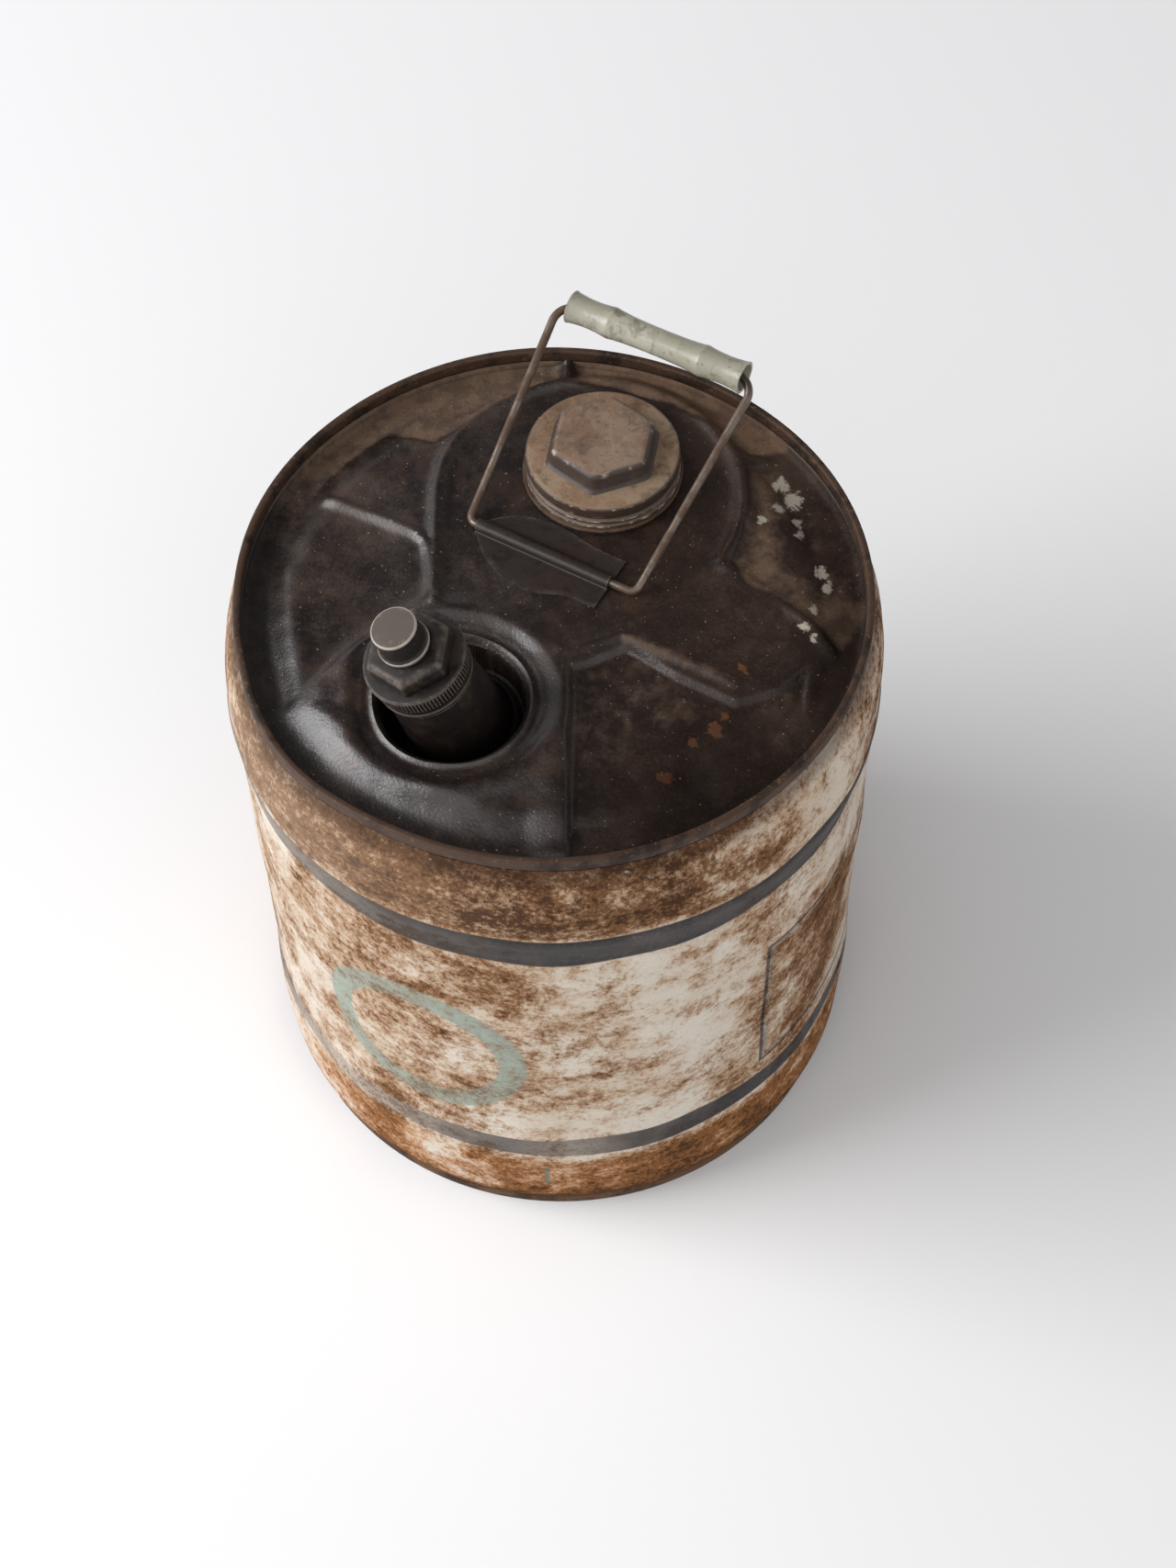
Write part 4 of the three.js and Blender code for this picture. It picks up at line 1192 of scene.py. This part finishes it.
def dusty_finish(name, tint, edge_wear_and_highlight_tint, powder):
    """Brown steel: powdery on top, darker in the corners, pale along the edges from rubbing and a painted
    highlight.
    """
    s = Surface(name)
    cloud = s.noise(42, 6, 0.62)
    mottle = s.noise(170, 8, 0.70)
    grain = s.noise(900, 3, 0.6)
    wear = s.mark("wear")
    # darker in the corners
    corner = s.ramp(s.add(wear, s.vary(mottle, 0.25)), 0.485, 0.36)
    # pale along the edges: wear, and a painted highlight
    edge = s.ramp(s.add(wear, s.vary(mottle, 0.90)), 0.66, 0.82)
    dark = tuple(0.36 * v for v in tint)
    brown = tuple(0.5 * (a + b) * shift for a, b, shift in zip(tint, powder, (1.25, 1.0, 0.85)))
    on_top = s.ramp(s.mark("up"), 0.72, 0.985)
    smudge = s.noise(95, 8, 0.72, 0.8)
    color = s.layers(
        tint,
        (s.times(s.ramp(mottle, 0.52, 0.68), 0.35), brown),
        (s.times(on_top, s.ramp(s.add(cloud, s.times(grain, 0.2)), 0.30, 0.54)), powder),
        (s.times(on_top, s.ramp(cloud, 0.47, 0.60), 0.65), brown),
        (s.times(on_top, s.ramp(smudge, 0.50, 0.62), 0.62), tuple(0.42 * v for v in powder)),
        (s.times(on_top, s.ramp(smudge, 0.44, 0.38), 0.40), tuple(1.3 * v for v in powder)),
        (s.times(s.ramp(mottle, 0.54, 0.68), 0.45), dark),
        (s.times(s.specks(520, 0.3, 0.12), 0.5), dark),
        (s.times(corner, 0.90), (0.016, 0.010, 0.007)),
        (s.times(edge, 0.85), edge_wear_and_highlight_tint),
    )
    rough = s.add(0.42, s.times(mottle, 0.18), s.times(on_top, 0.25))
    shine = s.add(0.55, s.times(on_top, -0.35))
    height = s.add(mottle, s.times(grain, 0.4))
    return s.finish(color, rough, 0.0, s.bump(height, 0.3, 0.55), shine=shine)


def black_finish(name, powder, edge_amount, rim=(0.20, 0.155, 0.125), even=0.0):
    """Blackened steel, dusty on top and in patches, with pale edges from wear and a painted highlight, and
    painted shade where the 'dark' mark lies.
    """
    s = Surface(name)
    cloud = s.noise(60, 6, 0.62)
    mottle = s.noise(260, 7, 0.68)
    wear = s.mark("wear")
    # pale edges: wear, and a painted highlight
    edge = s.ramp(s.add(wear, s.vary(mottle, 0.35)), 0.575, 0.76)
    settled = s.ramp(s.add(cloud, s.times(mottle, 0.3)), 0.56 - even, 0.72 - even)
    on_top = s.times(s.ramp(s.mark("up"), 0.80, 0.93), settled)
    color = s.layers(
        (0.0095, 0.0066, 0.0054),
        (s.times(s.ramp(cloud, 0.48, 0.70), 0.6), (0.036, 0.023, 0.015)),
        (s.times(on_top, powder), (0.155, 0.120, 0.100)),
        (s.times(s.ramp(mottle, 0.56, 0.72), 0.4), (0.070, 0.046, 0.030)),
        (s.times(edge, edge_amount), rim),
        # painted shade: near-black where the "dark" mark lies, down in the well
        (s.times(s.mark("dark"), 0.85), PAINTED_SHADE_BLACK),
    )
    rough = s.add(0.36, s.times(cloud, 0.22), s.times(on_top, 0.2))
    shine = s.times(0.34, s.flip(s.times(s.mark("dark"), 0.85)))
    return s.finish(color, rough, 0.0, s.bump(s.add(mottle, cloud), 0.15, 0.4), shine)


def well_shade_finish():
    """Near-black steel down in the well: painted shade, where no light reaches."""
    return Surface("painted_well_shade").finish((0.0055, 0.0042, 0.0038), 0.6, shine=0.1)


def wire_finish():
    """Tarnished wire: brown rust patches, shinier between them."""
    s = Surface("wire_steel")
    patches = s.noise(70, 6, 0.66)
    mottle = s.noise(420, 4, 0.6)
    rust = s.ramp(s.add(patches, s.times(mottle, 0.2)), 0.48, 0.68)
    color = s.layers(
        (0.17, 0.135, 0.11),
        (rust, (0.085, 0.048, 0.030)),
        (s.times(s.ramp(mottle, 0.60, 0.74), 0.6), (0.25, 0.13, 0.06)),
    )
    rough = s.add(0.34, s.times(rust, 0.32))
    metal = s.add(0.85, s.times(rust, -0.6))
    return s.finish(color, rough, metal, s.bump(s.add(mottle, patches), 0.12, 0.5))


def grip_finish():
    """Aged grey-green plastic, darker in its hollows, with grime smears and fine brown scuffs."""
    s = Surface("grip_plastic")
    cloud = s.noise(38, 5, 0.6)
    smear = s.noise(160, 6, 0.68, 0.5)
    wear = s.mark("wear")
    grime = s.ramp(s.add(smear, s.times(cloud, 0.4)), 0.68, 0.86)
    color = s.layers(
        (0.300, 0.285, 0.222),
        (s.ramp(cloud, 0.42, 0.62), (0.375, 0.355, 0.285)),
        (s.times(grime, 0.62), (0.120, 0.100, 0.066)),
        # darker in the hollows
        (s.times(s.ramp(wear, 0.47, 0.36), 0.5), (0.10, 0.080, 0.050)),
        (s.times(s.specks(420, 0.24, 0.10), 0.7), (0.060, 0.045, 0.030)),
    )
    rough = s.add(0.16, s.times(smear, 0.3))
    return s.finish(color, rough, 0.0, s.bump(s.add(cloud, smear), 0.12, 0.35))


def matte_finish(name, tint, worn, scale, depth):
    """Rubber or seam compound: two tones in patches, with no shine."""
    s = Surface(name)
    mottle = s.noise(scale, 5, 0.6)
    color = s.layers(tint, (s.ramp(mottle, 0.45, 0.7), worn))
    return s.finish(color, s.add(0.7, s.times(mottle, 0.2)), 0.0, s.bump(mottle, depth, 0.4))


def floor_finish():
    s = Surface("floor")
    tone = s.noise(2.5, 3, 0.5)
    color = s.layers((0.87, 0.87, 0.875), (tone, (0.89, 0.89, 0.895)))
    return s.finish(color, 0.85)


def paint(piece, material):
    piece.data.materials.clear()
    piece.data.materials.append(material)


# ------------------------------------------------------------------ assembly

add_camera()
add_light()
add_floor()

dark = head_finish()
shell_paint = shell_finish()
top_seam_finish = seam_finish("top_seam_rust", (0.056, 0.030, 0.018), 0.9)
low_seam_finish = seam_finish("low_seam_rust", (0.100, 0.048, 0.020), 0.2)
dusty = dusty_finish("dusty_steel", (0.048, 0.028, 0.018), (0.40, 0.32, 0.25), (0.270, 0.192, 0.128))
hex_steel = dusty_finish("hex_steel", (0.040, 0.025, 0.018), (0.42, 0.33, 0.26), (0.225, 0.160, 0.115))
neck_steel = dusty_finish("neck_steel", (0.034, 0.019, 0.012), (0.12, 0.078, 0.048), (0.095, 0.058, 0.034))
strap_steel = dusty_finish(
    "strap_steel", (0.019, 0.0135, 0.0115), (0.050, 0.036, 0.028), (0.026, 0.018, 0.015)
)
black = black_finish("black_steel", 0.12, 0.50)
plug_black = black_finish("plug_steel", 0.55, 0.75, (0.42, 0.37, 0.32), 0.25)
well_shade_black = well_shade_finish()
wire_steel = wire_finish()
plastic = grip_finish()
rubber = matte_finish("black_rubber", (0.018, 0.018, 0.018), (0.045, 0.041, 0.036), 300, 0.1)
compound = matte_finish("seam_compound", (0.10, 0.10, 0.085), (0.055, 0.052, 0.045), 200, 0.15)

head = add_top_head()
shell = add_shell()
top_chime = add_chime("top_seam_roll", TOP_CHIME, HEIGHT - CHIME_TALL, follow_rim)
bottom_chime = add_chime("bottom_seam_roll", LOW_CHIME, 0, None)
bottom_head = add_bottom_head()
neck, cap, cap_hex = add_fill_opening()
tube, collar, disc, nut, plug = add_spout()
rod = add_bail()
grip = add_grip()
strap = add_strap()

PIECES = [
    (head, "root", ["top_head"], "dark_steel", dark),
    (shell, "root", ["body_shell"], "painted_shell", shell_paint),
    (top_chime, "root", ["top_chime"], "rusty_steel", top_seam_finish),
    (bottom_chime, "root", ["bottom_chime"], "rusty_steel", low_seam_finish),
    (bottom_head, "root", ["bottom_head"], "dark_steel", dark),
    (neck, "root", ["fill_neck"], "dusty_steel", neck_steel),
    (cap, "fill_cap", ["fill_cap"], "dusty_steel", dusty),
    (cap_hex, "fill_cap", [], "dusty_steel", hex_steel),
    (tube, "root", ["spout_tube"], "black_steel", black),
    (collar, "spout_closure", ["spout_collar"], "black_steel", black),
    (disc, "spout_closure", ["spout_disc"], "black_steel", black),
    (nut, "spout_closure", ["spout_nut"], "black_steel", black),
    (plug, "spout_plug", ["spout_plug"], "black_steel", plug_black),
    (rod, "bail", ["bail_wire"], "wire_steel", wire_steel),
    (grip, "grip", ["handle_grip"], "grip_plastic", plastic),
    (strap, "root", ["handle_strap"], "dark_steel", strap_steel),
]
# painted shade on the spout's pipe down in the well
mark_well_shade(tube, HEIGHT - 12, HEIGHT + 8)
for piece, body, nodes, slot_name, material in PIECES:
    mark_wear(piece)
    paint(piece, material)
    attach(piece, body)
    if nodes:
        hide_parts(*nodes)

for node, item in frame["nodes"].items():
    if "gasket" in node or "washer" in node:
        paint(item, rubber)
    elif "compound" in node:
        paint(item, compound)
    # the seat ring down in the well gets painted shade
    elif node == "spout_seat_ring":
        paint(item, well_shade_black)
